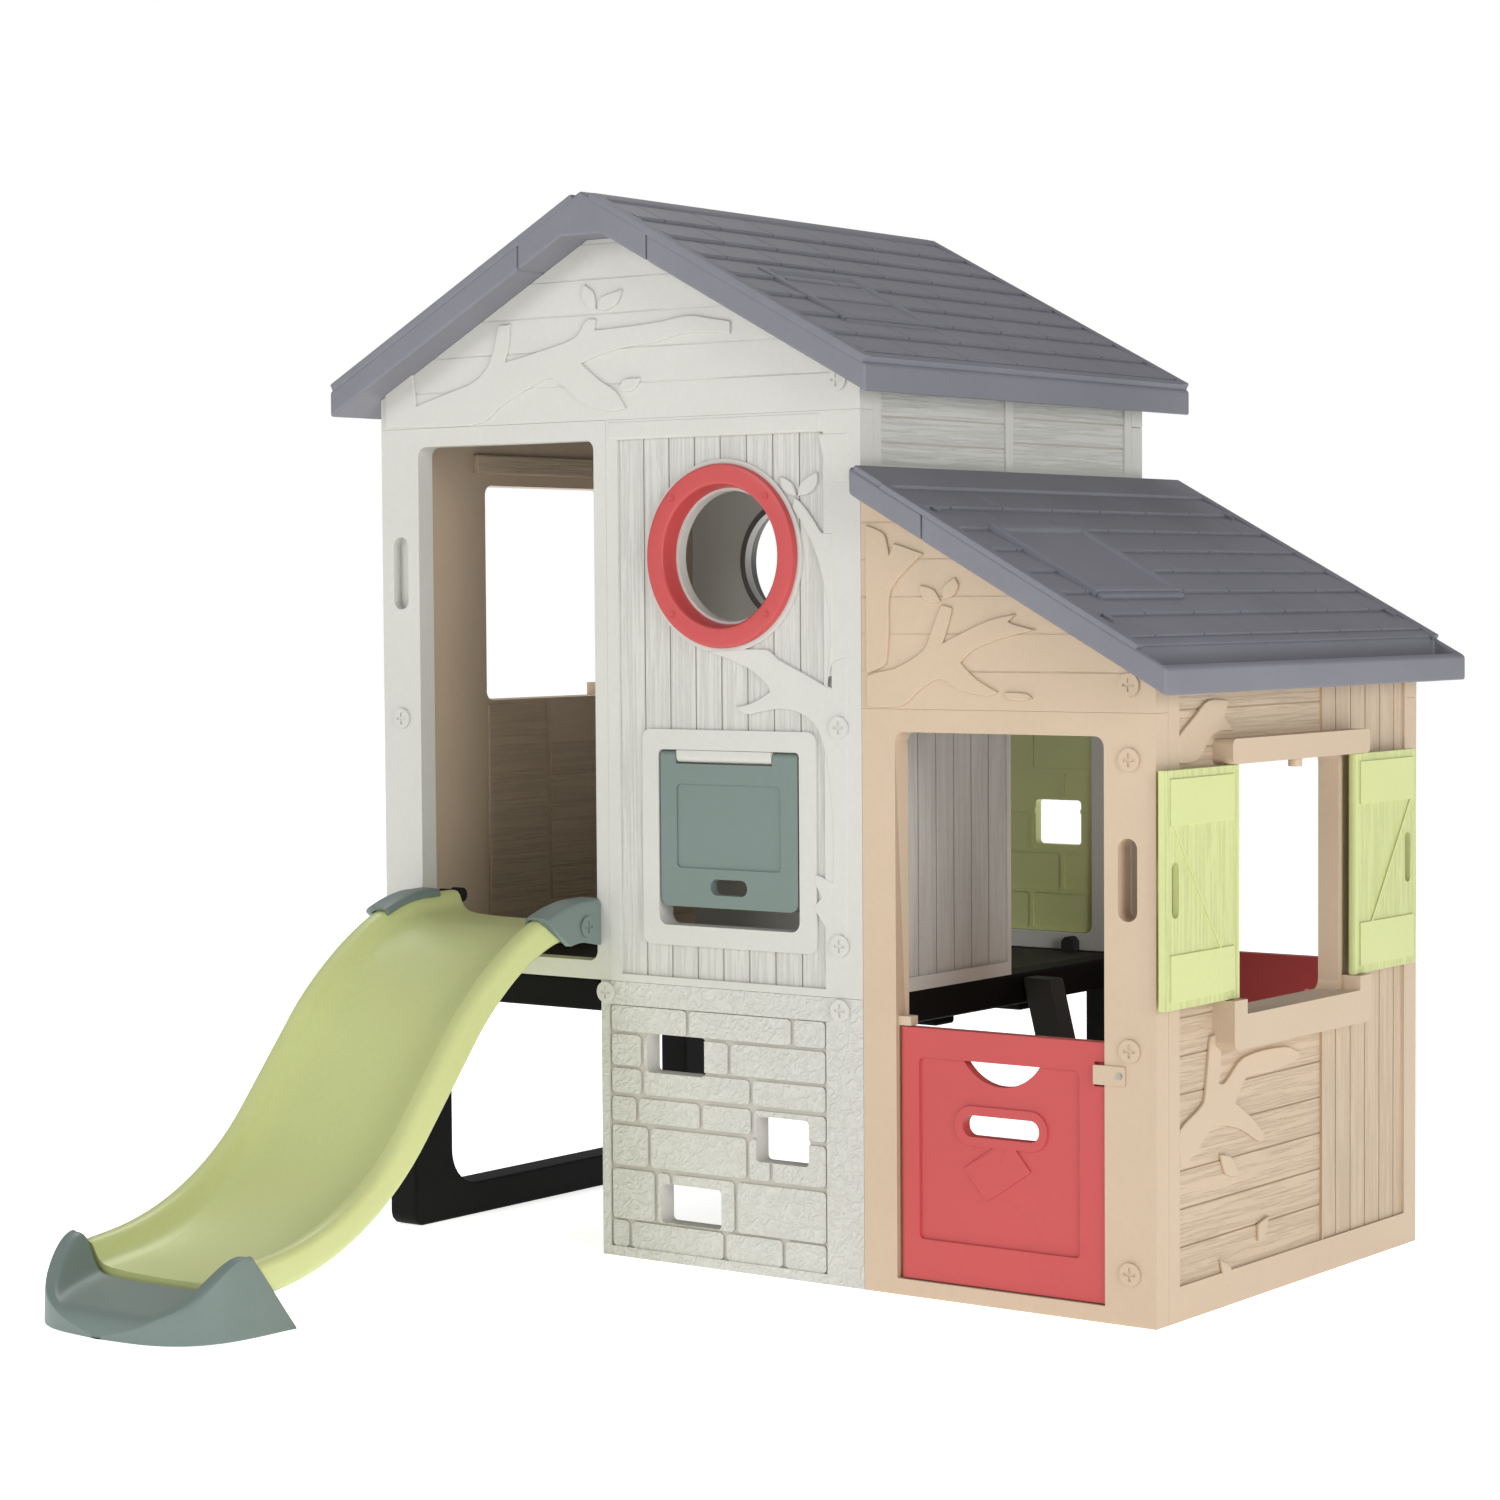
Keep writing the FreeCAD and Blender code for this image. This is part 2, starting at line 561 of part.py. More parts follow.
def right_wall_panel():
    """The boarded front half of the wall between the tower and the extension."""
    high = roof_under(-FIT) - FIT
    y1 = DEPTH / 2
    solid = block(-WALL, WALL + FIT, PANEL_FOOT, -FIT, y1, high)
    y0, low, seam = WALL + BEAM_WIDTH / 2, PANEL_FOOT + BEAM_WIDTH / 2, WALL_TOP - 2 * BEAM_WIDTH
    solid = boards(solid, "yz", y0, low, y1 - BEAM_WIDTH / 4, seam - GROOVE_WIDTH, -FIT, 1, BOARD_PITCH)
    return boards(solid, "yz", y0, seam, y1 - BEAM_WIDTH / 4, high - BEAM_WIDTH / 4,
                  -FIT, 1, HEADER_PITCH, upright=False)


def right_wall_header():
    """The piece over the doorway from the extension to the platform."""
    high = roof_under(-FIT) - FIT
    low, y0, y1 = WALL_TOP - 2 * BEAM_WIDTH, DEPTH / 2 + FIT, DEPTH - WALL - FIT
    solid = block(-WALL, y0, low, -FIT, y1, high)
    return boards(solid, "yz", y0 + BEAM_WIDTH / 4, low + BEAM_WIDTH / 4, y1 - BEAM_WIDTH / 2, high - BEAM_WIDTH / 4,
                  -FIT, 1, HEADER_PITCH, upright=False)


def barrier():
    """The stone-patterned guard across the rear doorway of the platform."""
    mid = 2 * MIDDLE
    x1 = mid - (LEFT + DOOR_LEFT_POST) - FIT
    x0 = x1 - DOOR_WIDTH + 2 * FIT
    low = DECK_TOP + DOOR_SILL + FIT
    high = DECK_TOP + BARRIER_TOP
    y1 = DEPTH - (WALL - BARRIER_THICKNESS) / 2
    y0 = y1 - BARRIER_THICKNESS
    solid = plate("xz", x0, low, x1, high, y0, y1, CORNER_RADIUS)
    rows = 6
    height = (high - low) / rows
    cuts = []
    for row in range(rows):
        z = low + row * height
        shift = (row % 2) * (x1 - x0) / 6
        for column in range(3):
            a = x0 + shift + column * (x1 - x0) / 3 + STONE_GAP / 2
            b = min(a + (x1 - x0) / 3 - STONE_GAP, x1 - STONE_GAP / 2)
            if b - a > 3 * STONE_GAP:
                cuts.append(plate("xz", a, z + STONE_GAP / 2, b, z + height - STONE_GAP / 2,
                                  y0, y0 + STONE_RELIEF / 2, STONE_GAP))
    hole_left = x0 + BARRIER_HOLE_LEFT
    hole_low = DECK_TOP + BARRIER_HOLE_UP
    solid = solid.cut(cuts)
    return solid.cut(plate("xz", hole_left, hole_low, hole_left + BARRIER_HOLE_WIDTH,
                           hole_low + BARRIER_HOLE_HEIGHT, y0 - 1, y1 + 1, STONE_GAP))


# ---------------------------------------------------------------- hatch
def hatch_hinge_bar():
    edges = hatch_edges()
    left = edges[0] + HINGE_BAR_LEFT
    right = edges[1] - HINGE_BAR_RIGHT
    bar = rod("yz", HINGE_BAR_Y, HINGE_BAR_Z, left, right, HINGE_BAR_RADIUS)
    mount = block(left, HINGE_BAR_Y - HINGE_BAR_RADIUS, HINGE_BAR_Z,
                  right, HINGE_BAR_Y + HINGE_BAR_RADIUS, HINGE_BAR_Z + HINGE_DROP - FIT)
    pin = rod("yz", HINGE_BAR_Y, HINGE_BAR_Z, left - HINGE_PIN_REACH, right + HINGE_PIN_REACH, HINGE_PIN)
    return bar.fuse([mount, pin])


def hatch_flap():
    left, right, low, high = hatch_edges()
    x0 = left + FLAP_GAP_LEFT
    x1 = right - FLAP_GAP_LEFT
    z0 = low + FLAP_GAP_BOTTOM
    y0 = FLAP_SETBACK
    y1 = y0 + FLAP_THICKNESS
    solid = plate("xz", x0, z0, x1, HINGE_BAR_Z, y0, y1, CORNER_RADIUS)
    solid = solid.fuse(block(x0, y0, HINGE_BAR_Z - 2 * CORNER_RADIUS, x1, y1, HINGE_BAR_Z))
    solid = solid.fuse(rod("yz", HINGE_BAR_Y, HINGE_BAR_Z, x0, x1, FLAP_THICKNESS / 2))
    bar_left = left + HINGE_BAR_LEFT
    bar_right = right - HINGE_BAR_RIGHT
    clear = HINGE_BAR_RADIUS + SWING_GAP
    bay = block(bar_left - SWING_GAP, y0 - 1, HINGE_BAR_Z - clear, bar_right + SWING_GAP, y1 + 1,
                HINGE_BAR_Z + clear)
    bore = rod("yz", HINGE_BAR_Y, HINGE_BAR_Z, bar_left - HINGE_PIN_REACH - SWING_GAP,
               bar_right + HINGE_PIN_REACH + SWING_GAP, HINGE_PIN + PIN_CLEARANCE)
    middle = (left + right) / 2
    grip_low = z0 + FLAP_GRIP_UP
    grip = plate("xz", middle - FLAP_GRIP_WIDTH / 2, grip_low, middle + FLAP_GRIP_WIDTH / 2,
                 grip_low + FLAP_GRIP_HEIGHT, y0 - 1, y1 + 1, FLAP_GRIP_HEIGHT / 2 - 1)
    field = plate("xz", x0 + HATCH_FRAME, grip_low + FLAP_GRIP_HEIGHT + HATCH_FRAME / 2,
                  x1 - HATCH_FRAME, HINGE_BAR_Z - clear - HATCH_FRAME, y0, y0 + 3, CORNER_RADIUS / 2)
    return solid.cut([bay, bore, grip, field])


# ---------------------------------------------------------------- slide
def slide_strip(over, under, y_end=0.0):
    """Side view of the slide between two offsets, as a face in the YZ plane at x = 0."""
    upper = slide_points(over)
    lower = slide_points(under)

    def point(pair):
        return spot("yz", pair[0], pair[1], 0)

    def curve(points):
        return [Part.makeLine(point((y_end, points["start"][1])), point(points["start"])),
                Part.Arc(point(points["start"]), point(points["top_mid"]), point(points["top_end"])).toShape(),
                Part.makeLine(point(points["top_end"]), point(points["low_start"])),
                Part.Arc(point(points["low_start"]), point(points["low_mid"]),
                         point(points["low_end"])).toShape()]

    edges = curve(upper)
    edges.append(Part.makeLine(point(upper["low_end"]), point(lower["low_end"])))
    edges += list(reversed(curve(lower)))
    edges.append(Part.makeLine(point((y_end, lower["start"][1])), point((y_end, upper["start"][1]))))
    return Part.Face(Part.Wire(Part.__sortEdges__(edges)))


def slide_chute():
    x0 = SLIDE_CENTRE - SLIDE_WIDTH / 2
    deep = SLIDE_CHANNEL + SLIDE_FLOOR
    body = slide_strip(0, deep).extrude(vector(SLIDE_WIDTH, 0, 0))
    body.translate(vector(x0, 0, 0))
    body.translate(vector(0, -FIT, 0))
    channel = slide_strip(-SLIDE_CHANNEL, SLIDE_CHANNEL, WALL).extrude(
        vector(SLIDE_WIDTH - 2 * SLIDE_RIM, 0, 0))
    channel.translate(vector(x0 + SLIDE_RIM, -FIT, 0))
    floor_top = SLIDE_RIM_Z - SLIDE_CHANNEL
    lip = block(x0 + SLIDE_RIM, -SLIDE_LEAD, DECK_TOP + DOOR_SILL + FIT,
                x0 + SLIDE_WIDTH - SLIDE_RIM, WALL + FIT, floor_top)
    heel = block(x0 + SLIDE_RIM, WALL + FIT, DECK_TOP + FIT,
                 x0 + SLIDE_WIDTH - SLIDE_RIM, WALL + BRACKET_THICKNESS, floor_top)
    return body.fuse([lip, heel]).cut(channel)


def slide_foot():
    x0 = SLIDE_CENTRE - SLIDE_WIDTH / 2
    x1 = x0 + SLIDE_WIDTH
    y_back = CHUTE_END[0] + FOOT_LAP
    end_z = CHUTE_END[1]
    side = [(y_back, 0), (y_back, end_z), (CHUTE_END[0], end_z),
            (FOOT_TIP + FOOT_CORNER, FOOT_TIP_HEIGHT + FOOT_CORNER / 3), (FOOT_TIP, FOOT_TIP_HEIGHT),
            (FOOT_TIP, 0)]
    body = outline("yz", side, x0, x1)
    plan = plate("xy", x0, FOOT_TIP, x1, y_back + 2 * FOOT_CORNER, 0, end_z + 1, FOOT_CORNER)
    body = body.common(plan)
    inner = CHUTE_END[1] - SLIDE_CHANNEL
    run = [(y_back, inner + FOOT_LAP / 8), (y_back, end_z + 1), (FOOT_TIP + FOOT_CORNER / 4, end_z + 1),
           (FOOT_TIP + FOOT_CORNER / 4, FOOT_FLOOR)]
    channel = outline("yz", run, x0 + SLIDE_RIM, x1 - SLIDE_RIM)
    # The seat of the chute's lower end, a clearance larger than the chute
    seat = slide_strip(-2 * FIT, SLIDE_CHANNEL + SLIDE_FLOOR + 2 * FIT).extrude(
        vector(SLIDE_WIDTH + 2, 0, 0))
    seat.translate(vector(x0 - 1, -FIT, 0))
    return body.cut([channel, seat])


def slide_bracket(side):
    """A gusset on each side of the chute's top; side is -1 for the left and +1 for the right."""
    face = SLIDE_CENTRE + side * (SLIDE_WIDTH / 2 + FIT)
    low = SLIDE_RIM_Z - SLIDE_CHANNEL - SLIDE_FLOOR + BRACKET_THICKNESS
    top = SLIDE_RIM_Z + BRACKET_HEIGHT / 2
    corners = [(-FIT, low), (-FIT, top), (-BRACKET_LENGTH, top - BRACKET_HEIGHT / 3),
               (-BRACKET_LENGTH, SLIDE_RIM_Z - BRACKET_HEIGHT / 8), (-BRACKET_LENGTH / 2, low)]
    return outline("yz", corners, face, face + side * BRACKET_THICKNESS)


# ---------------------------------------------------------------- tower roof
def roof_panel(side):
    """One slope of the tower roof, from beside the ridge piece to the eave."""
    near = MIDDLE + side * (RIDGE_HALF_WIDTH + FIT)
    far = EAVE_RIGHT if side > 0 else EAVE_LEFT
    corners = [(near, roof_under(near)), (far, roof_under(far)),
               (far, roof_under(far) + ROOF_DEPTH), (near, roof_under(near) + ROOF_DEPTH)]
    solid = outline("xz", corners, ROOF_FRONT, ROOF_REAR)
    inner = far - side * (GUTTER_INSET + GUTTER_WIDTH)
    outer = far - side * GUTTER_INSET
    top = roof_under(outer) + ROOF_DEPTH
    trough = [(inner, top - GUTTER_DEPTH), (outer, top - GUTTER_DEPTH), (outer, top + ROOF_DEPTH),
              (inner, top + ROOF_DEPTH)]
    return solid.cut(outline("xz", trough, ROOF_FRONT + GUTTER_INSET, ROOF_REAR - GUTTER_INSET))


def roof_ridge():
    half = RIDGE_HALF_WIDTH
    edge = roof_under(MIDDLE + half)
    peak = roof_under(MIDDLE)
    block_half = RIDGE_BLOCK / ROOF_TAN
    top = ROOF_DEPTH + RIDGE_STEP
    corners = [(MIDDLE - half, edge), (MIDDLE - block_half, peak - RIDGE_BLOCK),
               (MIDDLE + block_half, peak - RIDGE_BLOCK), (MIDDLE + half, edge),
               (MIDDLE + half, edge + top), (MIDDLE, peak + top), (MIDDLE - half, edge + top)]
    return outline("xz", corners, ROOF_FRONT, ROOF_REAR)


# ---------------------------------------------------------------- extension walls
def ext_front_wall():
    right = RIGHT
    solid = block(FIT, 0, 0, right, WALL, EXT_WALL_HEIGHT - FIT)
    x0 = EXT_LEFT_POST
    x1 = x0 + EXT_DOOR_WIDTH
    head = EXT_WALL_HEIGHT - EXT_DOOR_HEAD
    solid = solid.cut(arched("xz", x0, EXT_DOOR_SILL, x1, head, -1, WALL + 1, 0, CORNER_RADIUS))
    grip_x = (x1 + right) / 2 - GRIP_WIDTH / 8
    half = GRIP_WIDTH / 2
    grip = plate("xz", grip_x - half, GRIP_UP, grip_x + half, GRIP_UP + GRIP_HEIGHT, -1, WALL + 1, half - 1)
    return solid.cut(grip)


def door_lugs(solid):
    """Pivot seats for the half-door: an upper lug on the jamb and a bore in the sill."""
    low = HALF_DOOR_TOP + SWING_GAP
    lug = block(EXT_LEFT_POST - LUG_THICKNESS, DOOR_PIN_Y - HALF_DOOR_THICKNESS / 2 + 1, low,
                EXT_LEFT_POST + LUG_REACH, DOOR_PIN_Y + HALF_DOOR_THICKNESS / 2 - 1, low + LUG_THICKNESS)
    lower = EXT_DOOR_SILL + DOOR_GAP
    corner = block(EXT_LEFT_POST - LUG_THICKNESS, DOOR_PIN_Y - HALF_DOOR_THICKNESS / 2 + 1, 0,
                   EXT_LEFT_POST + LUG_REACH, DOOR_PIN_Y + HALF_DOOR_THICKNESS / 2 - 1, EXT_DOOR_SILL)
    bore_top = rod("xy", DOOR_PIN_X, DOOR_PIN_Y, low - 1, low + DOOR_PIN_LENGTH + SWING_GAP,
                   DOOR_PIN + PIN_CLEARANCE)
    bore_low = rod("xy", DOOR_PIN_X, DOOR_PIN_Y, lower - DOOR_PIN_LENGTH - 2 * SWING_GAP, lower,
                   DOOR_PIN + PIN_CLEARANCE)
    return solid.fuse([lug, corner]).cut([bore_top, bore_low])


def half_door():
    x0 = EXT_LEFT_POST + DOOR_GAP
    x1 = EXT_LEFT_POST + EXT_DOOR_WIDTH - DOOR_GAP
    z0 = EXT_DOOR_SILL + DOOR_GAP
    y0 = HALF_DOOR_SETBACK
    y1 = y0 + HALF_DOOR_THICKNESS
    half = HALF_DOOR_THICKNESS / 2
    solid = block(x0 + half, y0, z0, x1, y1, HALF_DOOR_TOP)
    hinge_side = rod("xy", DOOR_PIN_X, DOOR_PIN_Y, z0, HALF_DOOR_TOP, half)
    pin = rod("xy", DOOR_PIN_X, DOOR_PIN_Y, z0 - DOOR_PIN_LENGTH, HALF_DOOR_TOP + DOOR_PIN_LENGTH, DOOR_PIN)
    solid = solid.fuse([hinge_side, pin])
    border = x0 + EXT_LEFT_POST * 0.6
    field = plate("xz", border, NOTCH_WIDTH * 3.5 + z0, x1 - EXT_LEFT_POST * 0.72, ARC_UP,
                  y0, y0 + FIELD_RELIEF, CORNER_RADIUS / 2)
    solid = solid.cut(field)
    middle = (x0 + x1) / 2
    raised = plate("xz", middle - SLOT_WIDTH / 2 - SLOT_RIM, SLOT_UP - SLOT_HEIGHT / 2 - SLOT_RIM,
                   middle + SLOT_WIDTH / 2 + SLOT_RIM, SLOT_UP + SLOT_HEIGHT / 2 + SLOT_RIM,
                   y0 + 1, y0 + FIELD_RELIEF, SLOT_HEIGHT / 2 + SLOT_RIM - 1)
    note_half = SLOT_WIDTH * 0.42
    note_middle = SLOT_UP - SLOT_HEIGHT / 2 - SLOT_RIM - note_half * 0.62
    note = outline("xz", [(middle, note_middle + note_half), (middle - note_half, note_middle),
                          (middle, note_middle - note_half), (middle + note_half, note_middle)],
                   y0 + 2, y0 + FIELD_RELIEF)
    solid = solid.fuse([raised, note])
    slot = plate("xz", middle - SLOT_WIDTH / 2, SLOT_UP - SLOT_HEIGHT / 2, middle + SLOT_WIDTH / 2,
                 SLOT_UP + SLOT_HEIGHT / 2, y0 - 1, y1 + 1, SLOT_HEIGHT / 2 - 1)
    arc_radius = (ARC_WIDTH * ARC_WIDTH / 4 + ARC_DROP * ARC_DROP) / (2 * ARC_DROP)
    bowl = rod("xz", middle, ARC_UP - ARC_DROP + arc_radius, y0 - 1, y1 + 1, arc_radius)
    smile = bowl.common(block(x0, y0 - 1, z0, x1, y1 + 1, ARC_UP))
    notch = block(x1 - NOTCH_WIDTH, y0 - 1, NOTCH_UP, x1 + 1, y0 + NOTCH_DEPTH, NOTCH_UP + NOTCH_HEIGHT)
    return solid.cut([slot, smile, notch])


def door_catch():
    """A flat tongue screwed to the post, over the notch in the door's edge."""
    x0 = EXT_LEFT_POST + EXT_DOOR_WIDTH - NOTCH_WIDTH
    x1 = x0 + 3 * NOTCH_WIDTH
    low = NOTCH_UP + DOOR_GAP * 2
    high = NOTCH_UP + NOTCH_HEIGHT - DOOR_GAP * 2
    thick = NOTCH_DEPTH / 3
    tongue = plate("xz", x0, low, x1, high, -FIT - thick, -FIT, thick)
    hole = rod("xz", x1 - NOTCH_WIDTH / 2, (low + high) / 2, -NOTCH_DEPTH, 1, SMALL_SCREW / 2)
    return tongue.cut(hole)


def catch_screw():
    x = EXT_LEFT_POST + EXT_DOOR_WIDTH + 1.5 * NOTCH_WIDTH
    z = NOTCH_UP + NOTCH_HEIGHT / 2
    face = -FIT - NOTCH_DEPTH / 3 - FIT
    head = rod("xz", x, z, face - 2, face, SMALL_SCREW)
    shank = rod("xz", x, z, face, -FIT, SMALL_SCREW / 2 - FIT)
    return head.fuse(shank)


def play_panel():
    """The red panel that closes the lower half of the extension's rear doorway."""
    x0 = RIGHT - EXT_LEFT_POST - EXT_DOOR_WIDTH + FIT
    x1 = RIGHT - EXT_LEFT_POST - FIT
    z0 = EXT_DOOR_SILL + FIT
    y0 = DEPTH - WALL + (WALL - PLAY_PANEL_THICKNESS) / 2
    y1 = y0 + PLAY_PANEL_THICKNESS
    solid = block(x0, y0, z0, x1, y1, PLAY_PANEL_TOP)
    field = plate("xz", x0 + 3 * NOTCH_WIDTH, z0 + 3 * NOTCH_WIDTH, x1 - 3 * NOTCH_WIDTH,
                  PLAY_PANEL_TOP / 2 + 2 * NOTCH_WIDTH, y0, y0 + FIELD_RELIEF, CORNER_RADIUS)
    middle = (x0 + x1) / 2
    holes = []
    for turn in (90, 210, 330):
        a = middle + TREFOIL_SPREAD * math.cos(math.radians(turn))
        b = PLAY_PANEL_TOP - 5 * NOTCH_WIDTH + TREFOIL_SPREAD * math.sin(math.radians(turn))
        holes.append(rod("xz", a, b, y0 - 1, y1 + 1, TREFOIL_HOLE))
    slot_x = middle + 3 * NOTCH_WIDTH
    holes.append(plate("xz", slot_x, PLAY_PANEL_TOP - 6 * NOTCH_WIDTH, slot_x + TREFOIL_HOLE * 2,
                       PLAY_PANEL_TOP - 3 * NOTCH_WIDTH, y0 - 1, y1 + 1, TREFOIL_HOLE - 1))
    return solid.cut([field] + holes)


def ext_gable():
    gap = FIT / math.cos(math.radians(LEAN_SLOPE))
    corners = [(FIT, EXT_WALL_HEIGHT), (RIGHT, EXT_WALL_HEIGHT), (RIGHT, lean_under(RIGHT) - gap),
               (FIT, lean_under(FIT) - gap)]
    solid = outline("xz", corners, 0, WALL)
    rows = int((lean_under(FIT) - EXT_WALL_HEIGHT) / PLANK_PITCH)
    cuts = []
    for row in range(1, rows + 1):
        z = EXT_WALL_HEIGHT + row * PLANK_PITCH
        cuts.append(block(FIT, 0, z, RIGHT, GROOVE_DEPTH, z + GROOVE_WIDTH))
    return solid.cut(cuts)


def shutter_pivot(side):
    """Y of a shutter's pins; side is -1 for the front shutter and +1 for the rear one."""
    middle = SIDE_WINDOW_FROM_FRONT + SIDE_WINDOW_WIDTH / 2
    return middle + side * (SIDE_WINDOW_WIDTH / 2 + SHUTTER_PIN_INSET)


def ext_right_wall():
    solid = side_wall(0, lean_under(RIGHT) - FIT)
    solid.translate(vector(RIGHT - WALL, 0, 0))
    bores = []
    head = SIDE_WINDOW_SILL + SIDE_WINDOW_HEIGHT
    radius = SHUTTER_PIN + PIN_CLEARANCE
    for side in (-1, 1):
        y = shutter_pivot(side)
        bores.append(rod("xy", SHUTTER_X, y, SIDE_WINDOW_SILL + LEDGE_STANDOFF - SHUTTER_PIN_LENGTH,
                         SIDE_WINDOW_SILL + LEDGE_STANDOFF + 1, radius))
        bores.append(rod("xy", SHUTTER_X, y, head - 1, head + SHUTTER_PIN_LENGTH, radius))
    return solid.cut(bores)


def shutter(side):
    """A braced shutter, swung open flat to the wall."""
    y_pin = shutter_pivot(side)
    y_far = y_pin + side * (SHUTTER_WIDTH - SHUTTER_THICKNESS / 2)
    near_x = SHUTTER_X - SHUTTER_THICKNESS / 2
    far_x = SHUTTER_X + SHUTTER_THICKNESS / 2
    a, b = sorted((y_pin, y_far))
    solid = plate("yz", a, SHUTTER_FOOT, b, SHUTTER_HEAD, near_x, far_x)
    edge = rod("xy", SHUTTER_X, y_pin, SHUTTER_FOOT, SHUTTER_HEAD, SHUTTER_THICKNESS / 2)
    reach = SHUTTER_PIN_LENGTH - SWING_GAP / 2
    pin = rod("xy", SHUTTER_X, y_pin, SHUTTER_FOOT - reach, SHUTTER_HEAD + reach, SHUTTER_PIN)
    solid = solid.fuse([edge, pin])
    low = SHUTTER_FOOT + BATTEN_MARGIN + BATTEN_HEIGHT
    high = SHUTTER_HEAD - BATTEN_MARGIN - BATTEN_HEIGHT
    skin = plate("yz", a, SHUTTER_FOOT, b, SHUTTER_HEAD, far_x - BRACE_RELIEF, far_x)
    raised = [plate("yz", a + BATTEN_MARGIN, bottom, b - BATTEN_MARGIN, bottom + BATTEN_HEIGHT,
                    far_x - BRACE_RELIEF, far_x) for bottom in (SHUTTER_FOOT + BATTEN_MARGIN, high)]
    start = y_far - side * BATTEN_MARGIN * 2
    stop = y_pin + side * BATTEN_MARGIN * 4
    raised.append(outline("yz", [(start, high + 1), (start + side * BRACE_WIDTH, high + 1),
                                 (stop + side * BRACE_WIDTH, low - 1), (stop, low - 1)],
                          far_x - BRACE_RELIEF, far_x))
    for piece in raised:
        skin = skin.cut(piece)
    grip_y = y_far - side * (SHUTTER_GRIP_INSET + SHUTTER_GRIP_WIDTH / 2)
    half = SHUTTER_GRIP_WIDTH / 2
    middle = (SHUTTER_FOOT + SHUTTER_HEAD) / 2
    grip = plate("yz", grip_y - half, middle - SHUTTER_GRIP_HEIGHT / 2, grip_y + half,
                 middle + SHUTTER_GRIP_HEIGHT / 2, near_x - 1, far_x + 1, half - 1)
    skin = skin.cut(edge)
    return solid.cut([skin, grip])


def window_knob():
    """The small turn knob under the window's head."""
    y = SIDE_WINDOW_FROM_FRONT + SIDE_WINDOW_WIDTH / 2
    head = SIDE_WINDOW_SILL + SIDE_WINDOW_HEIGHT
    x = RIGHT + HEAD_PROUD / 2
    return rod("xy", x, y, head - KNOB_LENGTH, head - FIT, KNOB_RADIUS)


# ---------------------------------------------------------------- lean-to roof
def lean_slab(x0, x1):
    corners = [(x0, lean_under(x0)), (x1, lean_under(x1)), (x1, lean_under(x1) + LEAN_DEPTH),
               (x0, lean_under(x0) + LEAN_DEPTH)]
    return outline("xz", corners, ROOF_FRONT, ROOF_REAR)


def lean_top_strip():
    strip = lean_slab(LEAN_START, LEAN_START + LEAN_STRIP)
    low = lean_under(LEAN_START)
    flashing = block(FIT, 0, low, LEAN_START + FLASHING_DEPTH / 4, DEPTH, low + FLASHING_DEPTH * 2 / 3)
    gap = outline("xz", [(FIT, lean_under(FIT)), (LEAN_START * 3, lean_under(LEAN_START * 3)),
                         (LEAN_START * 3, low - FLASHING_DEPTH), (FIT, low - FLASHING_DEPTH)], -1, DEPTH + 1)
    return strip.fuse(flashing.cut(gap))


def lean_roof():
    start = LEAN_START + LEAN_STRIP + FIT
    solid = lean_slab(start, LEAN_EAVE)
    outer = LEAN_EAVE - GUTTER_INSET
    inner = outer - GUTTER_WIDTH
    top = lean_under(outer) + LEAN_DEPTH
    trough = [(inner, top - GUTTER_DEPTH), (outer, top - GUTTER_DEPTH), (outer, top + LEAN_DEPTH),
              (inner, top + LEAN_DEPTH)]
    return solid.cut(outline("xz", trough, ROOF_FRONT + GUTTER_INSET, ROOF_REAR - GUTTER_INSET))


# ---------------------------------------------------------------- ladder
def ladder():
    """Two leaning rails and their treads, from the ground to the platform's edge."""
    lean = math.tan(math.radians(RAIL_LEAN))
    top = DECK_TOP - RAIL_TOP_DROP
    y0 = DEPTH / 2 + RAIL_INSET
    y1 = DEPTH - WALL - RAIL_INSET
    nodes = {}
    side = [(FIT, top), (FIT + RAIL_DEPTH, top), (FIT + RAIL_DEPTH + top * lean, 0), (FIT + top * lean, 0)]
    nodes["ladder_rail_front"] = outline("xz", side, y0, y0 + RAIL_WIDTH)
    nodes["ladder_rail_rear"] = outline("xz", side, y1 - RAIL_WIDTH, y1)
    for step in range(1, TREAD_COUNT + 1):
        z = DECK_TOP * step / (TREAD_COUNT + 1)
        x = FIT + (top - z) * lean + RAIL_DEPTH / 2
        nodes["ladder_tread_%d" % step] = plate(
            "xz", x - TREAD_DEPTH / 2, z - TREAD_THICKNESS, x + TREAD_DEPTH / 2, z,
            y0 + RAIL_WIDTH + FIT, y1 - RAIL_WIDTH - FIT, TREAD_THICKNESS / 3)
    return nodes


# ---------------------------------------------------------------- screws and small fittings
def front_screws():
    """Caps on the tower's front: gable corners, panel edges and the stone panel."""
    edge = STONE_PILASTER * 0.6
    left = LEFT + DOOR_LEFT_POST / 2
    high = WALL_TOP + 2.7 * SCREW_RADIUS
    spots = [(left, high), (left, WALL_TOP * 0.64), (-edge, high), (-edge, WALL_TOP * 0.64),
             (-edge, PANEL_FOOT + HATCH_SILL - HATCH_FRAME / 2)]
    low = DECK_TOP - STONE_STRIP / 2
    spots += [(-edge, low), (SPLIT - SCREW_RADIUS / 2 + FIT, low)]
    return spots


def ext_screws():
    x = (EXT_LEFT_POST + EXT_DOOR_WIDTH + RIGHT) / 2
    return [(x, EXT_WALL_HEIGHT + 2.4 * SCREW_RADIUS), (x, EXT_WALL_HEIGHT - 4 * SCREW_RADIUS),
            (x, HALF_DOOR_TOP - SCREW_RADIUS / 2), (x, 4.5 * SCREW_RADIUS)]


def caps_on_front(spots):
    return Part.makeCompound([cap_screw("xz", x, z, 0, -1) for x, z in spots])


